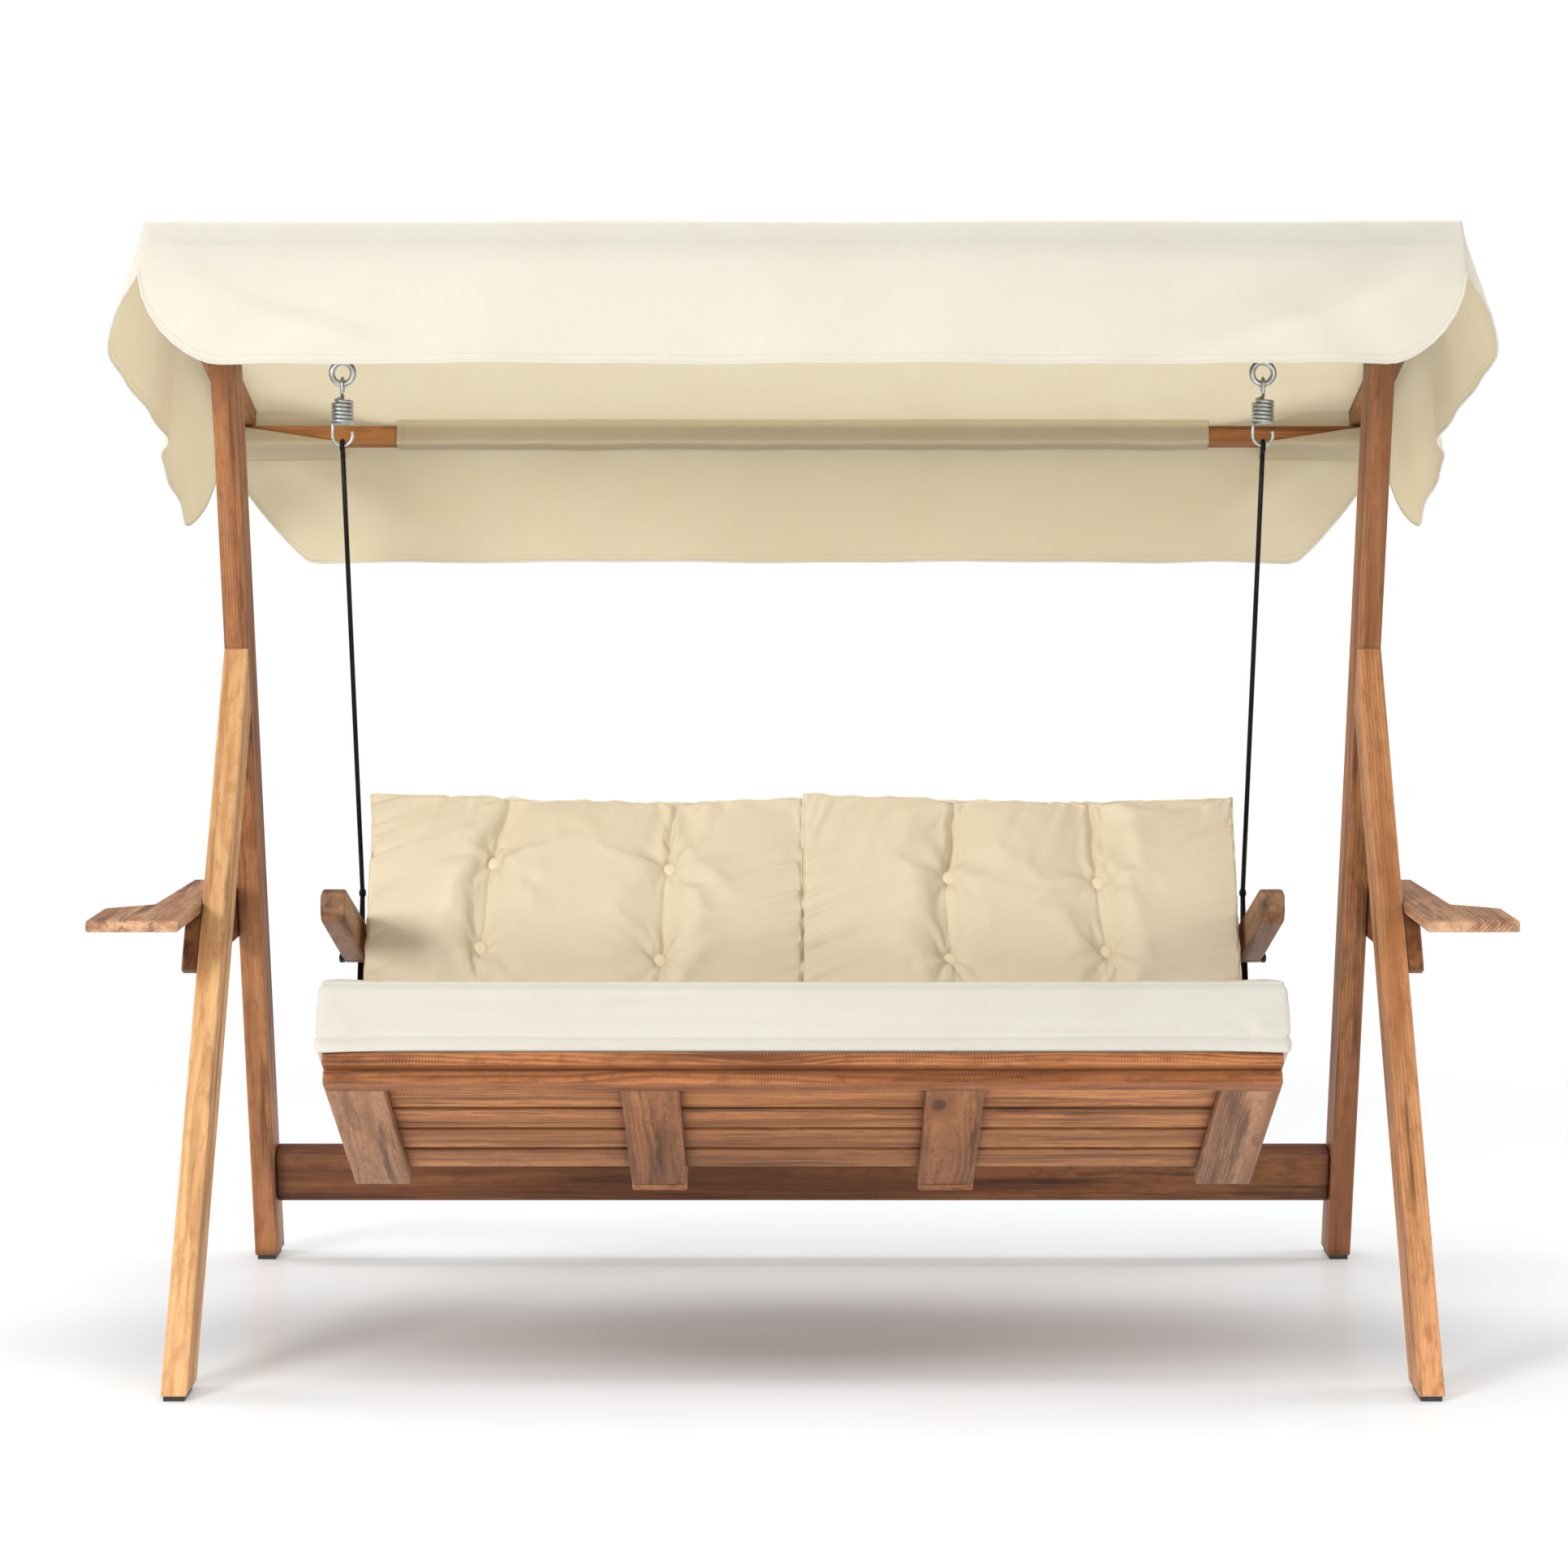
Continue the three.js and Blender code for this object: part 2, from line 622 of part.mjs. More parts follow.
function coverGeometry() {
  const xs = 26;
  const ys = 14;
  const rows = 4;
  const front = RAFTER.front - CLOTH_EASE;
  const back = RAFTER.back + 3;
  const slope = radians(RAFTER.slope);
  const down = { y: Math.sin(slope), z: -Math.cos(slope) }; // plumb line in the canopy's frame
  const under = [];
  const over = [];
  const faces = [];
  const add = (x, y, z, normal) => {
    under.push([x, y, z]);
    over.push([
      x + normal[0] * COVER.thickness,
      y + normal[1] * COVER.thickness,
      z + normal[2] * COVER.thickness,
    ]);
    return under.length - 1;
  };
  const grid = [];
  for (let j = 0; j <= ys; j += 1) {
    const row = [];
    for (let i = 0; i <= xs; i += 1) {
      const y = front + ((back - front) * j) / ys;
      const x = roofHalf(y) * ((2 * i) / xs - 1);
      const outX = i === 0 ? -1 : Number(i === xs);
      const outY = j === 0 ? -1 : Number(j === ys);
      row.push(add(x, y, roofHeight(x, y), [outX, outY, 1]));
    }
    grid.push(row);
  }
  for (let j = 0; j < ys; j += 1) {
    for (let i = 0; i < xs; i += 1) {
      faces.push([grid[j][i], grid[j][i + 1], grid[j + 1][i + 1], grid[j + 1][i]]);
    }
  }
  // The perimeter runs anticlockwise seen from above, starting at the front left corner.
  const loop = [];
  for (let i = 0; i < xs; i += 1) loop.push([i, 0, i === 0 ? 'corner' : 'front']);
  for (let j = 0; j < ys; j += 1) loop.push([xs, j, j === 0 ? 'corner' : 'side']);
  for (let i = xs; i > 0; i -= 1) loop.push([i, ys, i === xs ? 'corner' : 'rear']);
  for (let j = ys; j > 0; j -= 1) loop.push([0, j, j === ys ? 'corner' : 'side']);
  let upper = loop.map(([i, j]) => grid[j][i]);
  for (let k = 1; k <= rows; k += 1) {
    const lower = loop.map(([i, j, side]) => {
      const [x, y, z] = under[grid[j][i]];
      const hem = valanceHem(x, y, side);
      const share = k / rows;
      const outX = i === 0 ? -1 : Number(i === xs);
      const outY = j === 0 ? -1 : Number(j === ys);
      return add(
        x + outX * hem.outX * share,
        y + (down.y * hem.depth + outY * hem.outY) * share,
        z + down.z * hem.depth * share,
        [outX, outY, 0],
      );
    });
    lower.forEach((vertex, n) => {
      const next = (n + 1) % lower.length;
      faces.push([upper[n], vertex, lower[next], upper[next]]);
    });
    upper = lower;
  }
  const positions = [...over, ...under].flat();
  const count = over.length;
  const index = [];
  for (const [a, b, c, d] of faces) {
    index.push(a, b, c, a, c, d);
    index.push(count + a, count + c, count + b, count + a, count + d, count + c);
  }
  upper.forEach((vertex, n) => {
    const next = upper[(n + 1) % upper.length];
    index.push(vertex, count + vertex, count + next, vertex, count + next, next);
  });
  const geometry = new THREE.BufferGeometry();
  geometry.setAttribute('position', new THREE.Float32BufferAttribute(positions, 3));
  geometry.setIndex(index);
  return geometry;
}

function rafter() {
  const inner = FRAME_OUTER + GAP;
  const slab = board(
    [inner, RAFTER.front + TIMBER + GAP, RAFTER.bottom],
    [inner + TIMBER, RAFTER.back, RAFTER.bottom + RAFTER.height],
  );
  return cut(slab, [pin(BOLT.radius + GAP, inner - 5, inner + TIMBER + 5, 0, 0, 12)]);
}

// A three-lobed hand knob on a threaded stud.
function tiltKnob() {
  const face = FRAME_OUTER + TIMBER + 2 * GAP;
  const { lobe, lobeReach, hub, thickness } = KNOB;
  const lobes = [90, 210, 330].map((turn) => {
    const y = lobeReach * Math.cos(radians(turn));
    const z = lobeReach * Math.sin(radians(turn));
    return pin(lobe, face, face + thickness, y, z, 12);
  });
  return join([
    pin(hub, face, face + thickness, 0, 0),
    ...lobes,
    pin(BOLT.radius, FRAME_OUTER - 25, face + 1, 0, 0, 12),
  ]);
}

function buildCanopy() {
  const canopy = new THREE.Group();
  canopy.position.set(0, PIVOT.y, PIVOT.z);
  canopy.rotation.x = -radians(RAFTER.slope);
  const half = FRAME_OUTER + TIMBER;
  const frontBar = board(
    [-half, RAFTER.front, RAFTER.bottom],
    [half, RAFTER.front + TIMBER, RAFTER.bottom + RAFTER.height],
  );
  const barTop = RAFTER.bottom - GAP;
  const rearBar = board(
    [-half, RAFTER.back - TIMBER, barTop - REAR_BAR_HEIGHT],
    [half, RAFTER.back, barTop],
  );
  placePair(canopy, 'rafter', rafter(), FINISH.stainedPine);
  placePair(canopy, 'tilt_knob', tiltKnob(), FINISH.blackPlastic);
  place(canopy, 'canopy_front_bar', frontBar, FINISH.stainedPine);
  place(canopy, 'canopy_rear_bar', rearBar, FINISH.stainedPine);
  place(canopy, 'canopy_cover', coverGeometry(), FINISH.canvas);
  return canopy;
}

// ---------------------------------------------------------------- assembly

// Everything above is measured back from the front toes, so the whole is moved to its middle.
const group = new THREE.Group();
group.position.y = -HALF_STANCE;
group.add(buildStand());
group.add(buildSprings());
group.add(buildBench());
group.add(buildCanopy());
group.updateMatrixWorld(true);

export default group;
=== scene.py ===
"""Canopy swing bench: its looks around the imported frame. Metres, +Z up, the front faces -Y."""

import json
import math
import random

import bmesh
import bpy
import numpy as np
from mathutils import Matrix, Vector


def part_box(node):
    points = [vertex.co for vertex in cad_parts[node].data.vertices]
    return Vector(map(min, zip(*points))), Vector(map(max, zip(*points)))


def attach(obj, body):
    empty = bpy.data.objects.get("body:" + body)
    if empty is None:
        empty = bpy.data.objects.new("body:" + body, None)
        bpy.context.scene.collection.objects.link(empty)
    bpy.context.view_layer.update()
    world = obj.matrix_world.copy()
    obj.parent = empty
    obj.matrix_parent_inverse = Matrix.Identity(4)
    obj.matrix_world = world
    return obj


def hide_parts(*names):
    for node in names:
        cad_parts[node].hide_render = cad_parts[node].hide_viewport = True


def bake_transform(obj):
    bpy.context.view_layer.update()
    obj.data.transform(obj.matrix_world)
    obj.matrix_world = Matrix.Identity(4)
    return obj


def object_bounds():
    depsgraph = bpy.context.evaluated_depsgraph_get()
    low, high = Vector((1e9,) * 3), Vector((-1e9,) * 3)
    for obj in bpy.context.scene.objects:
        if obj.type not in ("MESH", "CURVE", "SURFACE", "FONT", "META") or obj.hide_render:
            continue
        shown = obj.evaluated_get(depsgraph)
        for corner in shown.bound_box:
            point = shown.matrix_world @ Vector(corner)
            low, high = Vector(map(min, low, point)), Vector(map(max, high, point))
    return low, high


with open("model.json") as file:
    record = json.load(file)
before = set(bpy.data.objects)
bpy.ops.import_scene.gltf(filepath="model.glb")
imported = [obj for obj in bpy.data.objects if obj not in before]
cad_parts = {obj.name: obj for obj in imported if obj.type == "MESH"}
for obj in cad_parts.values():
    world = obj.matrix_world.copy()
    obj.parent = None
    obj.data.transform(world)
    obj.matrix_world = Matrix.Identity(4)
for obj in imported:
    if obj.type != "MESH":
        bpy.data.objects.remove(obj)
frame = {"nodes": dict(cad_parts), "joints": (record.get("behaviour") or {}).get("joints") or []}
CAD_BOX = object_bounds()
NODES = frame["nodes"]
JOINTS = {joint["name"]: joint for joint in frame["joints"]}
SIDES = {"right": 1, "left": -1}


def both(name):
    return [f"{name}_right", f"{name}_left"]


def numbered(name, *numbers):
    return [f"{name}_{number}" for number in numbers]


def box_middle(node):
    low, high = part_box(node)
    return (low + high) / 2


def reach_of(node):
    """How far the near and the far end of a node are from the middle plane."""
    return sorted(abs(corner.x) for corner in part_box(node))


# ---------------------------------------------------------------- shader building


def srgb(red, green, blue):
    """A colour given as 0 to 255 screen values, as linear RGBA."""

    def linear(value):
        share = value / 255
        return share / 12.92 if share <= 0.04045 else ((share + 0.055) / 1.055) ** 2.4

    return (linear(red), linear(green), linear(blue), 1.0)


class Signal:
    """A shader socket that takes part in plain arithmetic."""

    def __init__(self, graph, socket):
        self.graph, self.socket = graph, socket

    def __add__(self, other):
        return self.graph.math("ADD", self, other)

    def __sub__(self, other):
        return self.graph.math("SUBTRACT", self, other)

    def __rsub__(self, other):
        return self.graph.math("SUBTRACT", other, self)

    def __mul__(self, other):
        return self.graph.math("MULTIPLY", self, other)

    def __truediv__(self, other):
        return self.graph.math("DIVIDE", self, other)


class Graph:
    """The node tree of a material or world. Its methods return signals, so that calls nest."""

    def __init__(self, name, family=bpy.data.materials):
        self.owner = family.new(name)
        self.owner.use_nodes = True
        self.tree = self.owner.node_tree
        self.tree.nodes.clear()

    def node(self, kind, inputs=None, output=0, **settings):
        made = self.tree.nodes.new("ShaderNode" + kind)
        for key, value in settings.items():
            setattr(made, key, value)
        for key, value in (inputs or {}).items():
            if isinstance(value, Signal):
                self.tree.links.new(value.socket, made.inputs[key])
            else:
                made.inputs[key].default_value = value
        return Signal(self, made.outputs[output]) if made.outputs else None

    def here(self):
        return self.node("TexCoord", output="Object")

    def math(self, operation, first, second=0.0):
        return self.node("Math", {0: first, 1: second}, operation=operation)

    def vector(self, operation, first, second=(0, 0, 0)):
        output = 1 if operation in ("DOT_PRODUCT", "LENGTH") else 0
        return self.node("VectorMath", {0: first, 1: second}, output, operation=operation)

    def join(self, x, y, z):
        return self.node("CombineXYZ", {0: x, 1: y, 2: z})

    def parts(self, vector):
        split = self.node("SeparateXYZ", {0: vector}).socket.node
        return [Signal(self, output) for output in split.outputs]

    def attribute(self, name, source="GEOMETRY", vector=False):
        output = "Vector" if vector else "Fac"
        return self.node("Attribute", None, output, attribute_name=name, attribute_type=source)

    def noise(self, vector, scale=1.0, detail=3.0, roughness=0.5, distortion=0.0):
        inputs = {"Vector": vector, "Scale": scale, "Detail": detail}
        inputs.update({"Roughness": roughness, "Distortion": distortion})
        return self.node("TexNoise", inputs)

    def mix(self, share, first, second):
        return self.node("Mix", {0: share, 6: first, 7: second}, 2, data_type="RGBA")

    def span(self, value, low, high, start=0.0, end=1.0):
        """Maps low..high to start..end, with soft ends."""
        inputs = {0: value, 1: low, 2: high, 3: start, 4: end}
        return self.node("MapRange", inputs, interpolation_type="SMOOTHSTEP")

    def surface(self, colour, roughness, height=None, depth=0.001, strength=1.0, **extra):
        inputs = {"Base Color": colour, "Roughness": roughness}
        inputs.update({key.replace("_", " "): value for key, value in extra.items()})
        if height is not None:
            bump = {"Height": height, "Distance": depth, "Strength": strength}
            inputs["Normal"] = self.node("Bump", bump)
        return self.node("BsdfPrincipled", inputs)

    def done(self, shader, kind="Material"):
        self.node("Output" + kind, {"Surface": shader})
        return self.owner


# ---------------------------------------------------------------- timber

RING = 0.0050  # growth ring spacing
KNOT_CELL = (0.46, 0.17)  # average knot spacing along and across the grain
SAW_TEETH = 1250.0  # radians of saw mark for each metre of board
# How strongly the painted highlight pales the edges of boards.
EDGE_HIGHLIGHT = 0.45


def toned(colour, gain, lift=0.0):
    """A linear colour made darker or paler."""
    return tuple(min(1.0, gain * value + lift) for value in colour[:3]) + (1.0,)


def timber(name, along, across, early, late, contrast=0.55, sawn=0.0):
    """Stained pine whose rings, knots and fibres run along one direction of the frame."""
    g = Graph(name)
    early, late = srgb(*early), srgb(*late)
    through = Vector(along).cross(Vector(across))
    local = g.vector("SUBTRACT", g.here(), g.attribute("grain_centre", "OBJECT", vector=True))
    seed = g.parts(g.attribute("grain_seed", "OBJECT", vector=True))
    a = g.vector("DOT_PRODUCT", local, along) + seed[0]
    c = g.vector("DOT_PRODUCT", local, across)
    t = g.vector("DOT_PRODUCT", local, tuple(through))

    def grain(along_scale, cross_scale, detail=2.0, roughness=0.5, distortion=0.0):
        place_on = g.join(a * along_scale, c * cross_scale, t * cross_scale)
        return g.noise(place_on, 1.0, detail, roughness, distortion)

    # Knots pass straight through a board, so their cells ignore the depth.
    cell = g.join(a / KNOT_CELL[0], c / KNOT_CELL[1], seed[1] * 7.0)
    knot = g.node("TexVoronoi", {"Vector": cell, "Scale": 1.0}, "Distance")
    bulge = g.span(knot, 0.0, 0.3, 0.010, 0.0)

    # Rings are cylinders round a heart line beside the board, bent by slow noise.
    drift = grain(1.6, 5.0) * 0.036
    off_c = c - seed[1] * 0.09
    off_t = t + (seed[2] * 0.05 + 0.03)
    radius = g.math("SQRT", off_c * off_c + off_t * off_t) + drift + bulge
    ring = g.math("FRACT", radius / RING)
    band = g.span(ring, 0.15, 0.86) - g.span(ring, 0.9, 1.0)
    clear = g.span(grain(1.3, 16.0), 0.35, 0.62)

    streaks = grain(2.6, 44.0, 4.0, 0.62)
    long_stain = grain(1.2, 20.0, 3.0, 0.55, 0.4)
    blotch = grain(22.0, 64.0, 4.0, 0.65, 0.3)
    fibre = grain(26.0, 640.0)
    pores = grain(90.0, 1300.0)

    dark, light = toned(late, 0.34), toned(early, 1.30, 0.015)
    colour = g.mix(band * contrast * clear, early, late)
    # Each row tints the wood between two levels of a pattern, from one share to another.
    for pattern, low, high, start, end, tint in (
        (long_stain, 0.44, 0.64, 0.0, 0.72, late),
        (long_stain, 0.28, 0.46, 0.55, 0.0, light),
        (blotch, 0.46, 0.66, 0.0, 0.55, late),
        (streaks, 0.50, 0.68, 0.0, 0.75, dark),
        (fibre, 0.35, 0.78, 0.0, 0.20, dark),
        (pores, 0.60, 0.75, 0.0, 0.35, dark),
        (knot, 0.08, 0.22, 0.6, 0.0, late),
        (knot, 0.035, 0.095, 0.85, 0.0, dark),
    ):
        colour = g.mix(g.span(pattern, low, high, start, end), colour, tint)

    height = fibre * 0.6 + band * 0.3
    if sawn:
        teeth = g.math("SINE", (a + drift) * SAW_TEETH)
        mark = g.span(teeth, 0.0, 0.9) * g.span(grain(3.0, 60.0), 0.50, 0.60, 0.0, sawn)
        colour = g.mix(mark * 0.42, colour, light)
        height = height - mark

    # Painted shade: the wood is drawn darker where boards meet, from ambient occlusion.
    gap_shade = g.node("AmbientOcclusion", {"Distance": 0.030}, "AO", samples=6)
    colour = g.mix(g.span(gap_shade, 0.30, 0.88, 0.85, 0.0), colour, dark)

    # Painted highlight: edges are drawn paler, in patches, as if catching the light. Where a
    # rounded normal leaves the true one, there is an edge.
    eased = g.node("Bevel", {"Radius": 0.0045}, samples=4)
    flat = g.node("NewGeometry", output="Normal")
    edge = 1.0 - g.vector("DOT_PRODUCT", eased, flat)
    edge_highlight = g.span(edge, 0.02, 0.20) * g.span(blotch, 0.3, 0.6, 0.35, 1.0)
    colour = g.mix(edge_highlight * EDGE_HIGHLIGHT, colour, toned(light, 0.70, 0.20))

    bump = {"Height": height, "Distance": 0.0006, "Strength": 0.6, "Normal": eased}
    normal = g.node("Bump", bump)
    roughness = g.span(fibre, 0.2, 0.8, 0.44, 0.60)
    return g.done(g.surface(colour, roughness, Specular_IOR_Level=0.35, Normal=normal))


def level(angle):
    """A direction in the YZ plane, angle degrees above the level line that runs to the back."""
    return (0.0, math.cos(math.radians(angle)), math.sin(math.radians(angle)))


X_AXIS = (1.0, 0.0, 0.0)
# Lean of each timber above the line that runs level to the back, in degrees.
LEG_LEAN = 56.7
POST_LEAN = 110.3
SEAT_LEAN = -25.8
BACK_LEAN = 60.0
ARM_LEAN = -16.9
RAFTER_LEAN = -15.75

# Screen colours of the early and the late wood.
POST = (180, 122, 78), (130, 80, 45)
RAIL = (144, 92, 55), (98, 56, 30)
SLAT = (220, 150, 90), (152, 90, 46)
STRONG = {"contrast": 0.95}
SAWN = {"sawn": 0.6, "contrast": 0.9}


def finish_timber():
    leg, seat, back, slope = level(LEG_LEAN), level(SEAT_LEAN), level(BACK_LEAN), level(RAFTER_LEAN)
    # Rows of material, colours, grain direction, cross direction, options and CAD nodes.
    for name, tone, along, across, options, nodes in (
        # Painted light: the two front legs get lit and shaded copies of one colour, paler on the
        # left where the key lamp falls.
        ("pale_leg", ((232, 184, 130), (192, 134, 82)), leg, X_AXIS, {}, ["front_leg_left"]),
        ("front_leg", ((214, 154, 104), (160, 102, 61)), leg, X_AXIS, {}, ["front_leg_right"]),
        ("post", POST, level(POST_LEAN), X_AXIS, {}, both("rear_post")),
        ("crossbar", RAIL, X_AXIS, level(POST_LEAN), {}, ["rear_crossbar"]),
        ("beam", POST, X_AXIS, level(0), {}, ["main_beam"]),
        ("rail", RAIL, level(0), level(90), {}, both("side_rail")),
        ("tray", ((222, 174, 136), (160, 108, 74)), level(0), X_AXIS, STRONG, both("side_tray")),
        ("seat_slat", SLAT, X_AXIS, seat, SAWN, numbered("seat_slat", 2, 3, 4, 5)),
        ("front_slat", ((192, 124, 72), (118, 64, 31)), X_AXIS, seat, SAWN,
         ["seat_slat_1", "seat_front_batten"]),
        ("back_slat", SLAT, X_AXIS, back, SAWN, numbered("back_slat", 1, 2, 3, 4, 5)),
        ("bearer", ((196, 144, 106), (150, 102, 70)), seat, X_AXIS, STRONG,
         numbered("seat_bearer", 1, 4)),
        ("inner_bearer", ((182, 120, 76), (134, 82, 48)), seat, X_AXIS, STRONG,
         numbered("seat_bearer", 2, 3)),
        ("upright", SLAT, back, X_AXIS, {},
         numbered("back_upright", 1, 2) + both("back_side_board")),
        ("armrest", ((158, 116, 82), (112, 74, 46)), level(ARM_LEAN), level(90 + ARM_LEAN), {},
         both("armrest")),
        ("rafter", POST, slope, X_AXIS, {}, both("rafter")),
        ("bar", ((196, 132, 76), (152, 92, 46)), X_AXIS, slope, {},
         ["canopy_front_bar", "canopy_rear_bar"]),
    ):
        material = timber(f"pine_{name}", along, across, *tone, **options)
        for node in nodes:
            draw = random.Random(node)
            piece = NODES[node]
            piece["grain_centre"] = tuple(box_middle(node))
            piece["grain_seed"] = (draw.uniform(0, 40), draw.uniform(-1, 1), draw.uniform(0, 1))
            set_material(piece, material)


# ---------------------------------------------------------------- metal and plastic


def metal(name, colour, roughness, spots):
    """Plated or painted steel with faint clouding and fine scratches."""
    g = Graph(name)
    cloud = g.noise(g.here(), 90.0, 4.0, 0.6)
    grit = g.noise(g.here(), 900.0, 2.0)
    tint = g.mix(g.span(cloud, 0.35, 0.7, 0.0, 0.5), colour, spots)
    rough = g.span(cloud, 0.3, 0.7, roughness, roughness + 0.16)
    return g.done(g.surface(tint, rough, grit, 0.0002, 0.4, Metallic=0.92))


def plastic(name, colour):
    """Moulded plastic with a fine spark-eroded grain."""
    g = Graph(name)
    grain = g.noise(g.here(), 1500.0, 2.0)
    dust = g.span(g.noise(g.here(), 60.0, 3.0), 0.45, 0.75, 0.0, 0.35)
    tint = g.mix(dust, colour, srgb(74, 72, 70))
    return g.done(g.surface(tint, g.span(grain, 0.2, 0.8, 0.42, 0.6), grain, 0.0003, 0.5))


# ---------------------------------------------------------------- cloth

THREAD = 0.0011  # spacing of the weave
HEM_STITCH = 0.0095  # the stitched row lies this far from the hem
STITCH = 0.0024  # half of a stitch's length


def cloth(name, colour, shade, glow=0.0, crumple=0.35, hem=False):
    """Woven cloth. The attribute "flat" holds each point's place on the uncut panel.

    On hemmed canvas, "hem" is the distance to the hem and "run" the distance along it."""
    g = Graph(name)
    colour, shade = srgb(*colour), srgb(*shade)
    flat = g.attribute("flat", vector=True)
    waves = [g.math("SINE", axis * (2 * math.pi / THREAD)) for axis in g.parts(flat)]
    weave = waves[0] + waves[1] + waves[2]
    warp = g.noise(g.vector("MULTIPLY", flat, (700.0, 9.0, 9.0)), 1.0, 2.0)
    weft = g.noise(g.vector("MULTIPLY", flat, (9.0, 700.0, 700.0)), 1.0, 2.0)
    slub = warp + weft
    soft = g.noise(flat, 7.0, 3.0, 0.55)
    fine = g.noise(flat, 26.0, 4.0, 0.6, 0.6)
    tint = g.mix(g.span(slub, 0.75, 1.3, 0.0, 0.16), colour, shade)
    tint = g.mix(g.span(soft, 0.35, 0.75, 0.0, 0.22), tint, shade)
    height = weave * 0.06 + slub * 0.12 + fine * crumple
    if hem:
        gap, run = g.attribute("hem"), g.attribute("run")
        row = g.span(g.math("ABSOLUTE", gap - HEM_STITCH), 0.0004, 0.0009, 1.0, 0.0)
        stitch = row * g.span(g.math("PINGPONG", run, STITCH), 0.0003, 0.0009)
        groove = row - stitch
        tint = g.mix(stitch * 0.6, tint, srgb(250, 246, 236))
        # Painted shade: between the stitches the groove is drawn darker.
        tint = g.mix(groove * 0.6, tint, shade)
        height = height + g.span(gap, 0.0108, 0.0122, 1.0, 0.0) * 1.5 - groove * 0.7
    sheen = {"Sheen_Weight": 0.25, "Specular_IOR_Level": 0.18}
    body = g.surface(tint, 0.88, height, 0.0022, 0.5, **sheen)
    if glow:
        through = g.node("BsdfTranslucent", {"Color": tint})
        body = g.node("MixShader", {0: glow, 1: body, 2: through})
    return g.done(body)


# ---------------------------------------------------------------- mesh helpers


def set_material(piece, material):
    piece.data.materials.clear()
    piece.data.materials.append(material)
    for face in piece.data.polygons:
        face.material_index = 0


def linked(name, data):
    made = bpy.data.objects.new(name, data)
    bpy.context.scene.collection.objects.link(made)
    return made


def new_mesh(name, vertices, faces, material, smooth=True):
    data = bpy.data.meshes.new(name)
    data.from_pydata([tuple(v) for v in vertices], [], [tuple(f) for f in faces])
    data.update()
    piece = linked(name, data)
    set_material(piece, material)
    for face in data.polygons:
        face.use_smooth = smooth
    return piece


def store(piece, name, values):
    """Keeps one vector or number for each vertex, for the material to read."""
    values = np.asarray(values, np.float32)
    kind = "FLOAT_VECTOR" if values.ndim == 2 else "FLOAT"
    field = "vector" if values.ndim == 2 else "value"
    layer = piece.data.attributes.new(name, kind, "POINT")
    layer.data.foreach_set(field, values.ravel())


def set_coordinates(piece, points):
    piece.data.vertices.foreach_set("co", np.asarray(points, np.float32).ravel())
    piece.data.update()


def subdivide(piece):
    smooth = piece.modifiers.new("smooth", "SUBSURF")
    smooth.levels = smooth.render_levels = 1


def dress(piece, body, node=None):
    """Lets a piece ride a body and, where a CAD node is named, stand in for it."""
    if node:
        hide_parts(node)
    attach(piece, body)


def polar(radius, degrees):
    turn = math.radians(degrees)
    return radius * math.cos(turn), radius * math.sin(turn)


def circle(sides):
    """Cosine and sine of evenly spaced turns."""
    return [polar(1, 360 * k / sides) for k in range(sides)]


class Shape:
    """Vertices and faces gathered from several solids before they become one mesh."""

    def __init__(self):
        self.vertices = []
        self.faces = []

    def loft(self, rings, closed=False):
        """Skins a row of equal rings, capped at both ends unless it closes on itself."""
        start, count, sides = len(self.vertices), len(rings), len(rings[0])
        rows = [range(start + i * sides, start + (i + 1) * sides) for i in range(count)]
        self.vertices.extend(vertex for ring in rings for vertex in ring)
        for low, high in zip(rows, rows[1:] + (rows[:1] if closed else [])):
            for k in range(sides):
                m = (k + 1) % sides
                self.faces.append((low[k], low[m], high[m], high[k]))
        if not closed:
            self.faces += [tuple(reversed(rows[0])), tuple(rows[-1])]
        return self

    def tube(self, path, radius, sides=12, closed=False):
        """A round wire along a list of points."""
        points = [Vector(p) for p in path]
        count = len(points)
        rings = []
        side = None
        for i, point in enumerate(points):
            before = points[i - 1] if closed or i else point
            after = points[(i + 1) % count] if closed or i < count - 1 else point
            heading = (after - before).normalized()
            if side is None:
                side = heading.orthogonal().normalized()
            side = (side - heading * side.dot(heading)).normalized()
            up = heading.cross(side)
            rings.append([point + radius * (c * side + s * up) for c, s in circle(sides)])
        return self.loft(rings, closed)

    def lathe(self, profile, axis, sides=32):
        """Turns (radius, height) points about the local z axis of a placing matrix."""
        return self.loft([
            [axis @ Vector((radius * c, radius * s, height)) for c, s in circle(sides)]
            for radius, height in profile
        ])

    def piece(self, name, material):
        return new_mesh(name, self.vertices, self.faces, material)


def bezier_line(points, steps):
    """A smooth Catmull-Rom line through points, steps pieces between each two."""
    points = [Vector(p) for p in points]
    padded = [2 * points[0] - points[1]] + points + [2 * points[-1] - points[-2]]
    line = []
    for p0, p1, p2, p3 in zip(padded, padded[1:], padded[2:], padded[3:]):
        for t in (k / steps for k in range(steps)):
            bend = (2 * p0 - 5 * p1 + 4 * p2 - p3) * t ** 2 + (3 * p1 - p0 - 3 * p2 + p3) * t ** 3
            line.append(0.5 * (2 * p1 + (p2 - p0) * t + bend))
    return line + [points[-1]]


def along_x(x, point, outward):
    """A placing matrix at x beside a point, its local z pointing away from the middle."""
    turn = Matrix.Rotation(math.radians(90 * outward), 4, "Y")
    return Matrix.Translation((x, point.y, point.z)) @ turn


# ---------------------------------------------------------------- hanging hardware

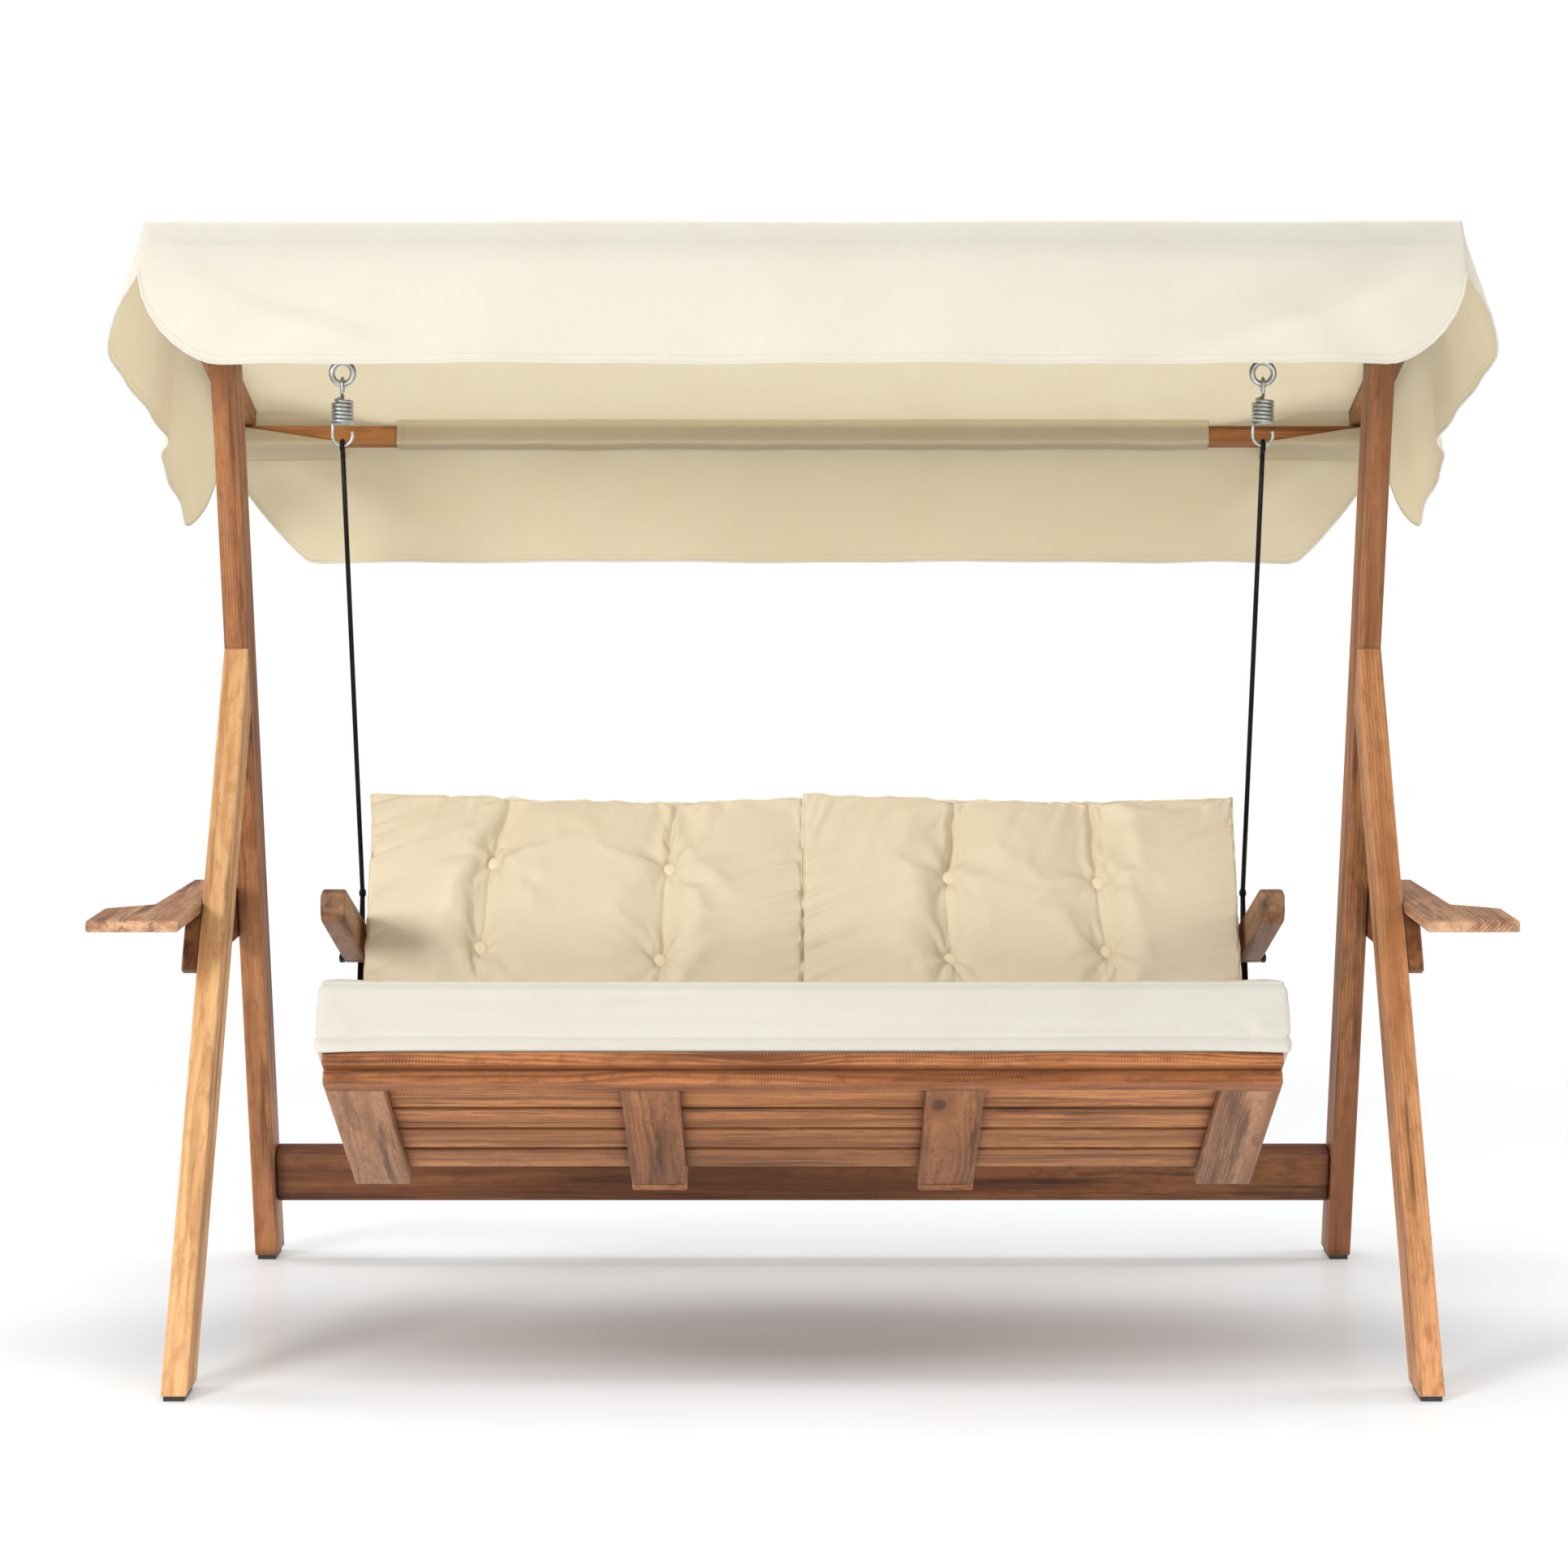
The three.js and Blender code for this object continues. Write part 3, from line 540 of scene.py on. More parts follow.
HOOK_X = box_middle("eye_nut_right").x
RING_LOW = JOINTS["swing"]["pos_m"][2]  # middle of the ring's lower bar
RING_RADIUS = 0.0175
RING_WIRE = 0.005
RING_Z = RING_LOW + RING_RADIUS
WIRE = 0.0029
COIL_RADIUS = 0.01575
COIL_TOP = 1.5005
COIL_BOTTOM = 1.464
COIL_TURNS = 5.75
HOOK_RADIUS = 0.0165
HOOK_Z = 1.4445
ROD = 0.004
EYE_RADIUS = 0.008
FORK_Z = 0.663  # the rod splits towards its two feet at this height
KNOB_THICKNESS = 0.014
KNOB_RADIUS = 0.0152
KNOB_LOBE = 0.0034
CAP = 0.006


def eye_nut(side, material):
    """A forged ring on a collar, with a short threaded stud into the beam."""
    x = SIDES[side] * HOOK_X
    axis = Matrix.Translation((x, 0, 0))
    base, top = RING_Z + RING_RADIUS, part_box("main_beam")[0].z
    collar = [
        (0.0045, base - 0.002), (0.0075, base + 0.001), (0.0085, top - 0.005),
        (0.0098, top - 0.0035), (0.0098, top - 0.0008), (0.0088, top - 0.0004),
    ]
    thread = [(0.0048 if i % 2 else 0.0042, top - 0.0003 + 0.00075 * i) for i in range(24)]
    ring = [(x + RING_RADIUS * c, 0, RING_Z + RING_RADIUS * s) for c, s in circle(48)]
    shape = Shape().tube(ring, RING_WIRE, 16, closed=True)
    shape.lathe(collar, axis).lathe(thread, axis, 20)
    piece = shape.piece(f"eye_nut_{side}_forged", material)
    dress(piece, "stand", f"eye_nut_{side}")


def spring(side, material):
    """Closed hook over the ring, close-wound coil, and an open hook that faces the front."""
    reach = RING_WIRE + WIRE + 0.001
    over = [polar(reach, 22.5 * k) for k in range(9)]
    points = [(0, reach, RING_LOW - 0.013)] + [(0, y, RING_LOW + z) for y, z in over]
    points += [(0, -reach, RING_LOW - 0.009), (0, -0.006, COIL_TOP + 0.012)]
    # The top turn spirals out from the middle, and the coil ends above the lower hook.
    for k in range(9):
        spiral = polar(COIL_RADIUS * (0.22 + 0.78 * k / 8), 90 + 22.5 * k)
        points.append((*spiral, COIL_TOP + 0.0055 * (1 - k / 8)))
    count = int(COIL_TURNS * 24)
    for i in range(2, count + 1):
        z = COIL_TOP + (COIL_BOTTOM - COIL_TOP) * i / count
        points.append((*polar(COIL_RADIUS, 15 * i - 90), z))
    hook = [polar(HOOK_RADIUS, 180 + 17 * i) for i in range(13)]
    points += [(x, 0, HOOK_Z + z) for x, z in hook]
    middle = SIDES[side] * HOOK_X
    line = bezier_line([(middle + x, y, z) for x, y, z in points], 3)
    piece = Shape().tube(line, WIRE).piece(f"spring_{side}_wire", material)
    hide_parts(f"spring_{side}")
    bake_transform(piece)


def hanger_rod(side, material):
    """A bent rod with an eye at the top, forked into two bolted feet."""
    node, sign = f"hanger_rod_{side}", SIDES[side]
    x, high = sign * HOOK_X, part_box(node)[1]
    eye_z = high.z - EYE_RADIUS - ROD
    fork = Vector((x, high.y - ROD, FORK_Z))
    lean = math.atan2(fork.y, eye_z - fork.z)
    start = Vector((x, EYE_RADIUS * math.sin(lean), eye_z - EYE_RADIUS * math.cos(lean)))
    eye = [(x, EYE_RADIUS * c, eye_z + EYE_RADIUS * s) for c, s in circle(32)]
    shape = Shape().tube(eye, ROD, 14, closed=True)
    shape.tube([start.lerp(fork, k / 6) for k in range(7)], ROD, 14)
    bead = [(0.0004, -0.0085), (0.0035, -0.0078), (0.0056, -0.004), (0.0062, 0.0),
            (0.0056, 0.004), (0.0035, 0.0078), (0.0004, 0.0085)]
    shape.lathe(bead, Matrix.Translation(fork), 16)
    washer = [(0.0044, 0.0003), (0.0112, 0.0003), (0.012, 0.0011), (0.012, 0.0063),
              (0.0112, 0.0071), (0.0044, 0.0071)]
    face = abs(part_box("back_side_board_right")[1].x)
    for end in ("lower", "upper"):
        bolt = box_middle(f"hanger_bolt_{end}_{side}")
        foot = Vector((sign * (face + 0.0038), bolt.y, bolt.z))
        tip = foot - (foot - fork).normalized() * 0.012
        shape.tube([fork.lerp(tip, k / 5) for k in range(6)], ROD, 14)
        shape.lathe(washer, along_x(sign * face, bolt, sign), 28)
    dress(shape.piece(f"{node}_bent", material), "bench", node)


def cap_bolt(node, sign, material):
    """A plain shank under a domed plastic cap."""
    inner, outer = reach_of(node)
    shank = outer - CAP - inner
    profile = [(0.0002, 0), (0.0034, 0), (0.004, 0.0008), (0.004, shank), (0.0078, shank),
               (0.008, shank + 0.0006), (0.0077, shank + 0.0034), (0.0064, shank + 0.0052),
               (0.0036, shank + CAP), (0.0002, shank + CAP + 0.0001)]
    shape = Shape().lathe(profile, along_x(sign * inner, box_middle(node), sign), 24)
    dress(shape.piece(f"{node}_capped", material), "bench", node)


def tilt_knob(side, material):
    """A three-lobed hand knob with rounded rims, on a plain stud."""
    node, sign = f"tilt_knob_{side}", SIDES[side]
    pivot = Vector(JOINTS["canopy_tilt"]["pos_m"])
    inner, outer = reach_of(node)
    face = outer - KNOB_THICKNESS
    axis = along_x(sign * face, pivot, sign)
    turns = [5 * k for k in range(72)]
    outline = [KNOB_RADIUS + KNOB_LOBE * math.cos(math.radians(3 * (a - 90))) for a in turns]
    # Heights above the knob's inner face, with the outline's share of its full size.
    levels = [(0.0, 0.86), (0.0015, 0.97), (0.004, 1.0), (0.010, 1.0), (0.0128, 0.93), (0.014, 0.8)]
    shape = Shape().loft([
        [axis @ Vector((*polar(scale * r, a), height)) for a, r in zip(turns, outline)]
        for height, scale in levels
    ])
    stud = [(0.0036, 0), (0.004, 0.0006), (0.004, face - inner + 0.001)]
    shape.lathe(stud, along_x(sign * inner, pivot, sign), 20)
    dress(shape.piece(f"{node}_moulded", material), "canopy", node)


def build_hardware():
    zinc = metal("zinc_plate", srgb(196, 202, 202), 0.28, srgb(140, 148, 150))
    black = metal("black_coated_steel", srgb(44, 42, 40), 0.42, srgb(26, 25, 24))
    moulded = plastic("black_plastic", srgb(30, 30, 30))
    for side, sign in SIDES.items():
        eye_nut(side, zinc)
        spring(side, zinc)
        hanger_rod(side, black)
        tilt_knob(side, moulded)
        for name in ("hanger_bolt_lower", "hanger_bolt_upper", "arm_bolt_front", "arm_bolt_rear"):
            cap_bolt(f"{name}_{side}", sign, moulded)
        for name in ("front_glide", "rear_glide"):
            set_material(NODES[f"{name}_{side}"], moulded)


# ---------------------------------------------------------------- number helpers


def ease(value, low=0.0, high=1.0):
    """0 below low, 1 above high and a smooth step between them."""
    t = np.clip((value - low) / (high - low), 0.0, 1.0)
    return t * t * (3 - 2 * t)


def bell(distance, width):
    return np.exp(-((distance / width) ** 2))


def wave(place, length, phase=0.0):
    return np.sin(2 * math.pi * place / length + phase)


def stops(start, end, step, edge):
    """Even stops, with one more stop close to each end to keep a fold there tight."""
    even = np.linspace(start, end, round((end - start) / step) + 1)
    return np.concatenate([even[:1], [start + edge], even[1:-1], [end - edge], even[-1:]])


def xyz(x, y, z):
    """Points from arrays or numbers of each coordinate."""
    return np.stack(np.broadcast_arrays(x, y, z), -1)


def grid_faces(rows, columns, first=0, flip=False):
    faces = []
    for i in range(rows - 1):
        for a in range(first + i * columns, first + (i + 1) * columns - 1):
            face = (a, a + 1, a + columns + 1, a + columns)
            faces.append(face[::-1] if flip else face)
    return faces


def carried(points, matrix):
    """An array of points moved by a 4 by 4 matrix."""
    return points @ np.array(matrix.to_3x3()).T + np.array(matrix.translation)


def local_box(node, matrix):
    """Lowest and highest corner of a CAD node in the frame of a placing matrix."""
    corners = np.array([v.co[:] for v in NODES[node].data.vertices])
    local = carried(corners, matrix.inverted())
    return local.min(0), local.max(0)


# ---------------------------------------------------------------- canopy cover

SLOPE = math.radians(-RAFTER_LEAN)
CANOPY = Matrix.Translation(JOINTS["canopy_tilt"]["pos_m"]) @ Matrix.Rotation(-SLOPE, 4, "X")
COVER_HALF = 1.006
KNOB_BULGE = (0.014, 0.170)  # height and half length of the bulge over each tilt knob
RAFTER_TOP = 0.0275
CANVAS = 0.0013
COVER_FRONT = -0.4825
COVER_REAR = 0.560
REAR_DIP = 0.040  # the roof dips this far from the rafters to the lower rear bar
ROOF_SAG = 0.011
BAR_FACE = 0.040  # the cover lies on the front bar's face this far before it hangs free
CORNER_SEAM = 0.082  # the valances are sewn together this far down each corner
CORNER_FLARE = 0.006
CORNER_VALLEY = 0.016  # depth of the soft diagonal valley below each front and rear corner
HEM_CORD = 0.0022
NO_HEM = 9.0  # distance to the hem on the roof, too far for any stitching
# The front and rear valance: edge, depth, length and roundness of the cut at each end (1 is
# straight and 2 an ellipse), and the side it faces.
END_VALANCES = (
    (COVER_FRONT, 0.219, 0.112, 1.75, -1),
    (COVER_REAR, 0.226, 0.140, 1.20, 1),
)
# The side valance from front to rear: share of its length, depth and flare of its hem.
SIDE_HEM = (
    (0.0, 0.082, 0.006),
    (0.07, 0.128, 0.058),
    (0.16, 0.160, 0.074),
    (0.32, 0.176, 0.052),
    (0.50, 0.192, 0.026),
    (0.62, 0.200, 0.058),
    (0.74, 0.222, 0.056),
    (0.85, 0.240, 0.050),
    (0.93, 0.165, 0.028),
    (1.0, 0.082, 0.006),
)
SLEEVE_HALF = 0.709
SLEEVE_SLACK = 0.0028
TUCK_START = 0.800
TUCK_BEND = 0.62  # the tuck turns up the bar's face at this share of its width


def roof_half(y):
    return COVER_HALF + KNOB_BULGE[0] * bell(y, KNOB_BULGE[1])


def roof_height(x, y):
    """The roof lies on the rafters and dips to the lower rear bar between them."""
    dip = REAR_DIP * ease(0.925 - np.abs(x), 0.0, 0.216) * np.clip((y - 0.15) / 0.406, 0.0, 1.0)
    middle = np.clip((y - COVER_FRONT - 0.04) / 0.9, 0.0, 1.0)
    sag = ROOF_SAG * 4 * middle * (1 - middle) * ease(0.86 - np.abs(x), 0.0, 0.35)
    swell = np.sin(9.0 * x + 4.0 * y) * np.sin(11.0 * y) * ease(0.9 - np.abs(x), 0.0, 0.2)
    return RAFTER_TOP + CANVAS - dip - sag + 0.0012 * swell


def hang(depth, at_front):
    """How far a point depth down the valance lies from its edge, along local y and z.

    Everywhere the cloth hangs plumb; at the front it first follows the leaning bar."""
    below = np.maximum(depth - BAR_FACE, 0.0)
    plumb = np.array([depth * math.sin(SLOPE), -depth * math.cos(SLOPE)])
    bar = np.array([below * math.sin(SLOPE), below - depth - below * math.cos(SLOPE)])
    return plumb + (bar - plumb) * at_front


def end_valance(edge_y, drop, cut, roundness, outward, x, share):
    """Front or rear valance point at place x along the edge and share 0..1 of its depth."""
    at_front = float(outward < 0)
    corner = roof_half(edge_y) - np.abs(x)  # distance from the nearer corner
    lift = roof_height(x, edge_y) - roof_height(0 * x, edge_y)
    inside = 1 - np.clip(corner / cut, 0.0, 1.0)
    rise = (1 - inside ** roundness) ** (1 / roundness)
    full = CORNER_SEAM + (drop + lift / math.cos(SLOPE) - CORNER_SEAM) * rise
    depth = share * full
    offset_y, offset_z = hang(depth, at_front)
    phase = 1.7 * (1 - at_front)
    ripple = 0.0042 * wave(x, 0.61, phase) + 0.0024 * wave(x, 0.233, 2.1 + phase)
    fold = 0.0062 * bell(corner - 0.16, 0.17) * wave(0.75 * corner + 0.9 * depth, 0.155)
    loose = ease(depth, BAR_FACE * at_front, drop) * ease(corner, 0.0, 0.16)
    dip = 0.0040 * at_front * bell(depth - 0.054, 0.011) * ease(corner, 0.02, 0.12)
    # The valley runs down and inwards from the corner.
    valley = bell(depth - 0.055 - 0.30 * corner, 0.026)
    valley = valley * ease(corner, 0.03, 0.14) * (1 - ease(corner, 0.28, 0.52))
    flare = corner_flare(depth) * ease(0.09 - corner, 0.0, 0.09)
    sway = loose * (ripple + fold + 0.004) - dip - CORNER_VALLEY * valley
    y = edge_y + offset_y + outward * sway
    z = roof_height(x, edge_y) + offset_z
    return xyz(x + np.sign(x) * flare, y, z), depth, full


def through(places, column):
    """A smooth curve through one column of the side hem's table, read at places 0..1."""
    rows = np.array(SIDE_HEM)
    knots, values = rows[:, 0], rows[:, column]
    slopes = np.gradient(values, knots)
    k = np.clip(np.searchsorted(knots, places, side="right") - 1, 0, len(knots) - 2)
    gap = knots[k + 1] - knots[k]
    t = (places - knots[k]) / gap
    return (
        values[k] * (1 + 2 * t) * (1 - t) ** 2
        + slopes[k] * gap * t * (1 - t) ** 2
        + values[k + 1] * t * t * (3 - 2 * t)
        + slopes[k + 1] * gap * t * t * (t - 1)
    )


def corner_flare(depth):
    return CORNER_FLARE * np.clip(depth / CORNER_SEAM, 0.0, 1.0)


def side_valance(sign, y, share):
    """Side valance point: it flares outwards in two soft lobes and hangs deeper to the rear."""
    along = (y - COVER_FRONT) / (COVER_REAR - COVER_FRONT)
    full = through(along, 1)
    depth = share * full
    offset_y, offset_z = hang(depth, 1 - ease(y - COVER_FRONT, 0.0, 0.09))
    ends = ease(along, 0.0, 0.1) * ease(1 - along, 0.0, 0.1)
    hem_flare = through(along, 2) + 0.003 * wave(along * 7.3, 1.0, 0.8) * ends - CORNER_FLARE
    flare = corner_flare(depth) + hem_flare * share ** 0.8
    swing = 0.010 * wave(along - 0.30, 0.5) * ends
    x = sign * (roof_half(y) + flare)
    z = roof_height(sign * COVER_HALF, y) + offset_z
    return xyz(x, y + offset_y + swing * share, z), depth, full


def canopy_points():
    """Every sheet of the cover as (points, flat place, distance to the hem, run along it)."""
    columns = stops(-1.0, 1.0, 0.0165, 0.006)
    depths = stops(COVER_FRONT, COVER_REAR, 0.017, 0.006)
    rows = np.concatenate([[0.0, 0.035], np.linspace(0.10, 0.90, 11), [0.965, 1.0]])
    u, y = np.meshgrid(columns, depths, indexing="ij")
    x = u * roof_half(y)
    sheets = [(xyz(x, y, roof_height(x, y)), xyz(x, y, 0), np.full(x.shape, NO_HEM), x)]
    for valance in END_VALANCES:
        edge_y = valance[0]
        x, share = np.meshgrid(columns * roof_half(edge_y), rows, indexing="ij")
        points, depth, full = end_valance(*valance, x, share)
        sheets.append((points, xyz(x, edge_y, depth), full - depth, x))
    for sign in SIDES.values():
        y, share = np.meshgrid(depths, rows, indexing="ij")
        points, depth, full = side_valance(sign, y, share)
        sheets.append((points, xyz(sign * COVER_HALF, y, depth), full - depth, y))
    return sheets


def sheet_mesh(name, sheets, material, inside=None):
    """Sews sheets into one welded cloth with thickness, in the canopy's place."""
    points, flat, hem, run = (
        [sheet[column].reshape(-1, size) for sheet in sheets]
        for column, size in enumerate((3, 3, 1, 1))
    )
    faces, first = [], 0
    for sheet in sheets:
        rows, columns = sheet[0].shape[:2]
        faces += grid_faces(rows, columns, first)
        first += rows * columns
    piece = new_mesh(name, carried(np.concatenate(points), CANOPY), faces, material)
    store(piece, "flat", np.concatenate(flat))
    store(piece, "hem", np.concatenate(hem)[:, 0])
    store(piece, "run", np.concatenate(run)[:, 0])
    mesh = bmesh.new()
    mesh.from_mesh(piece.data)
    bmesh.ops.remove_doubles(mesh, verts=mesh.verts, dist=2e-4)
    bmesh.ops.recalc_face_normals(mesh, faces=mesh.faces)
    mesh.to_mesh(piece.data)
    mesh.free()
    subdivide(piece)
    shell = piece.modifiers.new("shell", "SOLIDIFY")
    shell.thickness = CANVAS
    shell.offset = 0.0
    if inside:
        piece.data.materials.append(inside)
        shell.material_offset = 1
    return piece


def build_canopy():
    canvas = {"crumple": 0.5, "hem": True}
    outside = cloth("canvas_outside", (244, 241, 231), (236, 231, 216), 0.34, **canvas)
    # Painted light: the inside is a warmer copy of the canvas, standing in for the warm light that
    # shines through the cloth; its translucency also lets lamp light through.
    inside = cloth("canvas_inside", (252, 245, 224), (245, 233, 205), 0.62, **canvas)
    sheets = canopy_points()
    cover = sheet_mesh("canopy_canvas", sheets, outside, inside)
    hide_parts("canopy_cover")
    binding = Shape()
    for sheet in sheets[1:]:
        binding.tube(carried(sheet[0][:, -1], CANOPY), HEM_CORD, 8)
    pieces = [cover, binding.piece("canopy_hem_cord", outside), bar_sleeve(inside)]
    pieces += [corner_tuck(name, sign, inside) for name, sign in SIDES.items()]
    for piece in pieces:
        dress(piece, "canopy")


def rounded(path, radius, steps=3):
    """Replaces each inner corner of a (y, z) path with a small arc."""
    path = np.array(path)
    out = [path[0]]
    for before, corner, after in zip(path, path[1:], path[2:]):
        start, end = (
            corner + (side - corner) / np.linalg.norm(side - corner) * radius
            for side in (before, after)
        )
        for t in np.linspace(0, 1, steps + 1):
            out.append((1 - t) ** 2 * start + 2 * t * (1 - t) * corner + t ** 2 * end)
    return np.array(out + [path[-1]])


def bar_sleeve(material):
    """The pocket sewn under the roof that holds the rear bar."""
    low, high = local_box("canopy_rear_bar", CANOPY)
    front, rear = low[1] - SLEEVE_SLACK, high[1] + SLEEVE_SLACK
    roof = float(roof_height(np.array(0.3), np.array(high[1]))) - CANVAS
    under = low[2] - SLEEVE_SLACK
    path = rounded([
        (low[1] - 0.018, roof + 0.0055), (front, roof - 0.001), (front, under),
        (rear, under), (rear, roof - 0.004),
    ], 0.0045)
    span = stops(-SLEEVE_HALF, SLEEVE_HALF, 0.022, 0.007)
    x, k = np.meshgrid(span, np.arange(len(path)), indexing="ij")
    slack = 0.0014 * np.sin(x * 13.0) + 0.0009 * np.sin(x * 31.0 + 1.0)
    y, z = path[k, 0], path[k, 1]
    z = z - np.abs(slack) * ease(roof - z, 0.0, 0.03)
    lengths = np.concatenate([[0], np.cumsum(np.linalg.norm(np.diff(path, axis=0), axis=1))])
    sheet = (xyz(x, y, z), xyz(x, 0, lengths[k]), SLEEVE_HALF - np.abs(x), lengths[k])
    return sheet_mesh("canopy_bar_sleeve", [sheet], material)


def corner_tuck(name, sign, material):
    """Spare roof cloth folded under each end of the rear bar and up its front."""
    low, high = local_box("canopy_rear_bar", CANOPY)
    reach = abs(low[0]) - 0.003
    t, share = np.meshgrid(np.linspace(0, 1, 15), np.linspace(0.0, 1.0, 12), indexing="ij")
    x = sign * (TUCK_START + (reach - TUCK_START) * t)
    gap = 0.0026 + 0.004 * t
    back = xyz(x, high[1] + 0.016, low[2] - 0.016 - 0.004 * t)
    turn = xyz(x, low[1] - gap, low[2] - gap)
    top = turn + xyz(0, -0.002 * t, 0.034 * t)
    lower = np.clip(share / TUCK_BEND, 0, 1)[..., None]
    upper = np.clip((share - TUCK_BEND) / (1 - TUCK_BEND), 0, 1)[..., None]
    points = back + (turn - back) * lower + (top - turn) * upper
    sheet = (points, xyz(x, 0, share * 0.08), (1 - share) * 0.05, x)
    return sheet_mesh(f"canopy_tuck_{name}", [sheet], material)


# ---------------------------------------------------------------- cushions

SEAT = Matrix.Translation((0, -0.4925, 0.507)) @ Matrix.Rotation(math.radians(SEAT_LEAN), 4, "X")
BACK = Matrix.Translation((0, 0.010, 0.264)) @ Matrix.Rotation(math.radians(BACK_LEAN - 90), 4, "X")
# Pressure, change of size off and on a seam, frames, stiffness, bending, furthest travel.
SEAT_AIR = (2.6, (-0.018, 0.012), 22, 12.0, 0.35, 0.006)
BACK_AIR = (3.0, (-0.014, 0.02), 14, 14.0, 0.9, 0.011)
SEAT_ROUNDING = 0.011
SEAT_STEP = 0.0105
LOW_SEAM = 0.022  # height of the lower seam above the cushion's underside
SEAM_SINK = 0.0042
FOAM_PULL = (0.005, 0.006)  # how far the ends and the front and back draw in
FOAM_CROWN = 0.004
OVERHANG = 0.0085  # the front bottom edge sags this far over the first slat
COLUMNS = 129  # grid points across each layer of a back cushion
ROWS = 85
BODY_ROUNDNESS = (3.6, 3.2)  # across and up; a larger value keeps the filling full for longer
SEAM_FORWARD = 0.012  # the seam lies this far in front of the middle of the cushion
INNER_GAP = 0.0018  # from the middle plane to the inner side of a back cushion
SEAT_GAP = 0.009  # from the seat cushion's top to the back cushions
SEAM_CORD = 0.0015
# Buttons, lower then upper in each column, in shares of a cushion's half width and height.
TUFTS = {
    "left": (((-0.46, -0.15), (-0.41, 0.48)), ((0.35, -0.25), (0.39, 0.45))),
    "right": (((-0.33, -0.23), (-0.33, 0.37)), ((0.37, -0.18), (0.35, 0.34))),
}
BUTTON_HOLD = 0.0125  # the cloth is held this far round each button
BUTTON_LIFT = 0.0040  # a button's middle lies this far in front of the hollow
BUTTON = [
    (0.0004, -0.0030), (0.0080, -0.0030), (0.0114, -0.0014), (0.0121, 0.0006),
    (0.0112, 0.0026), (0.0088, 0.0041), (0.0050, 0.0050), (0.0004, 0.0052),
]


def weight(piece, name, weights):
    """Fills a vertex group, in steps of a tenth."""
    group = piece.vertex_groups.new(name=name)
    weights = np.round(1.0 * weights, 1)
    for value in np.unique(weights[weights > 0]):
        group.add([int(i) for i in np.where(weights == value)[0]], float(value), "ADD")


def inflate(piece, start, hold, seam, pressure, shrink, frames, stiffness, bending, cap):
    """Runs Blender's cloth on a closed mesh and gives the last frame's points.

    hold is the grip on each point, seam how much of a seam it is, shrink the cloth's change
    of size away from a seam and on it, and cap the furthest that any point travels."""
    weight(piece, "hold", hold)
    weight(piece, "seam", seam)
    modifier = piece.modifiers.new("cloth", "CLOTH")
    for key, value in {
        "quality": 5, "mass": 0.35, "tension_stiffness": stiffness,
        "compression_stiffness": stiffness, "shear_stiffness": stiffness * 0.5,
        "bending_stiffness": bending, "use_pressure": True,
        "uniform_pressure_force": pressure, "vertex_group_mass": "hold", "pin_stiffness": 1.0,
        "vertex_group_shrink": "seam", "shrink_min": shrink[0], "shrink_max": shrink[1],
    }.items():
        setattr(modifier.settings, key, value)
    modifier.settings.effector_weights.gravity = 0.0
    modifier.collision_settings.use_collision = False
    modifier.point_cache.frame_start = 1
    modifier.point_cache.frame_end = frames
    scene = bpy.context.scene
    for number in range(1, frames + 1):
        scene.frame_set(number)
    evaluated = piece.evaluated_get(bpy.context.evaluated_depsgraph_get())
    result = np.zeros(len(evaluated.data.vertices) * 3)
    evaluated.data.vertices.foreach_get("co", result)
    piece.modifiers.remove(modifier)
    scene.frame_set(1)
    travel = result.reshape(-1, 3) - start
    length = np.maximum(np.linalg.norm(travel, axis=1, keepdims=True), 1e-9)
    return start + travel * (cap * np.tanh(length / cap) / length)


def refit(points, low, high, axes):
    """Stretches points slightly so that they fill the solid's box along some axes."""
    points = points.copy()
    for axis in axes:
        start, end = points[:, axis].min(), points[:, axis].max()
        scale = (high[axis] - low[axis]) / (end - start)
        points[:, axis] = low[axis] + (points[:, axis] - start) * scale
    return points


def lattice_box(stops_of_axes):
    """The skin of a box as one welded grid over the stops of its three axes."""
    index, faces = {}, []
    counts = [len(values) for values in stops_of_axes]
    for axis in range(3):
        b, c = (axis + 1) % 3, (axis + 2) % 3
        for end in (0, counts[axis] - 1):
            for i in range(counts[b] - 1):
                for j in range(counts[c] - 1):
                    face = []
                    for di, dj in ((0, 0), (1, 0), (1, 1), (0, 1)):
                        ijk = [0, 0, 0]
                        ijk[axis], ijk[b], ijk[c] = end, i + di, j + dj
                        face.append(index.setdefault(tuple(ijk), len(index)))
                    faces.append(face if end else face[::-1])
    points = [[values[i] for values, i in zip(stops_of_axes, ijk)] for ijk in index]
    return np.array(points), faces


def round_box(points, low, high, radius):
    core = np.clip(points, low + radius, high - radius)
    away = points - core
    length = np.linalg.norm(away, axis=1, keepdims=True)
    return np.where(length > 1e-9, core + away / np.maximum(length, 1e-9) * radius, points)


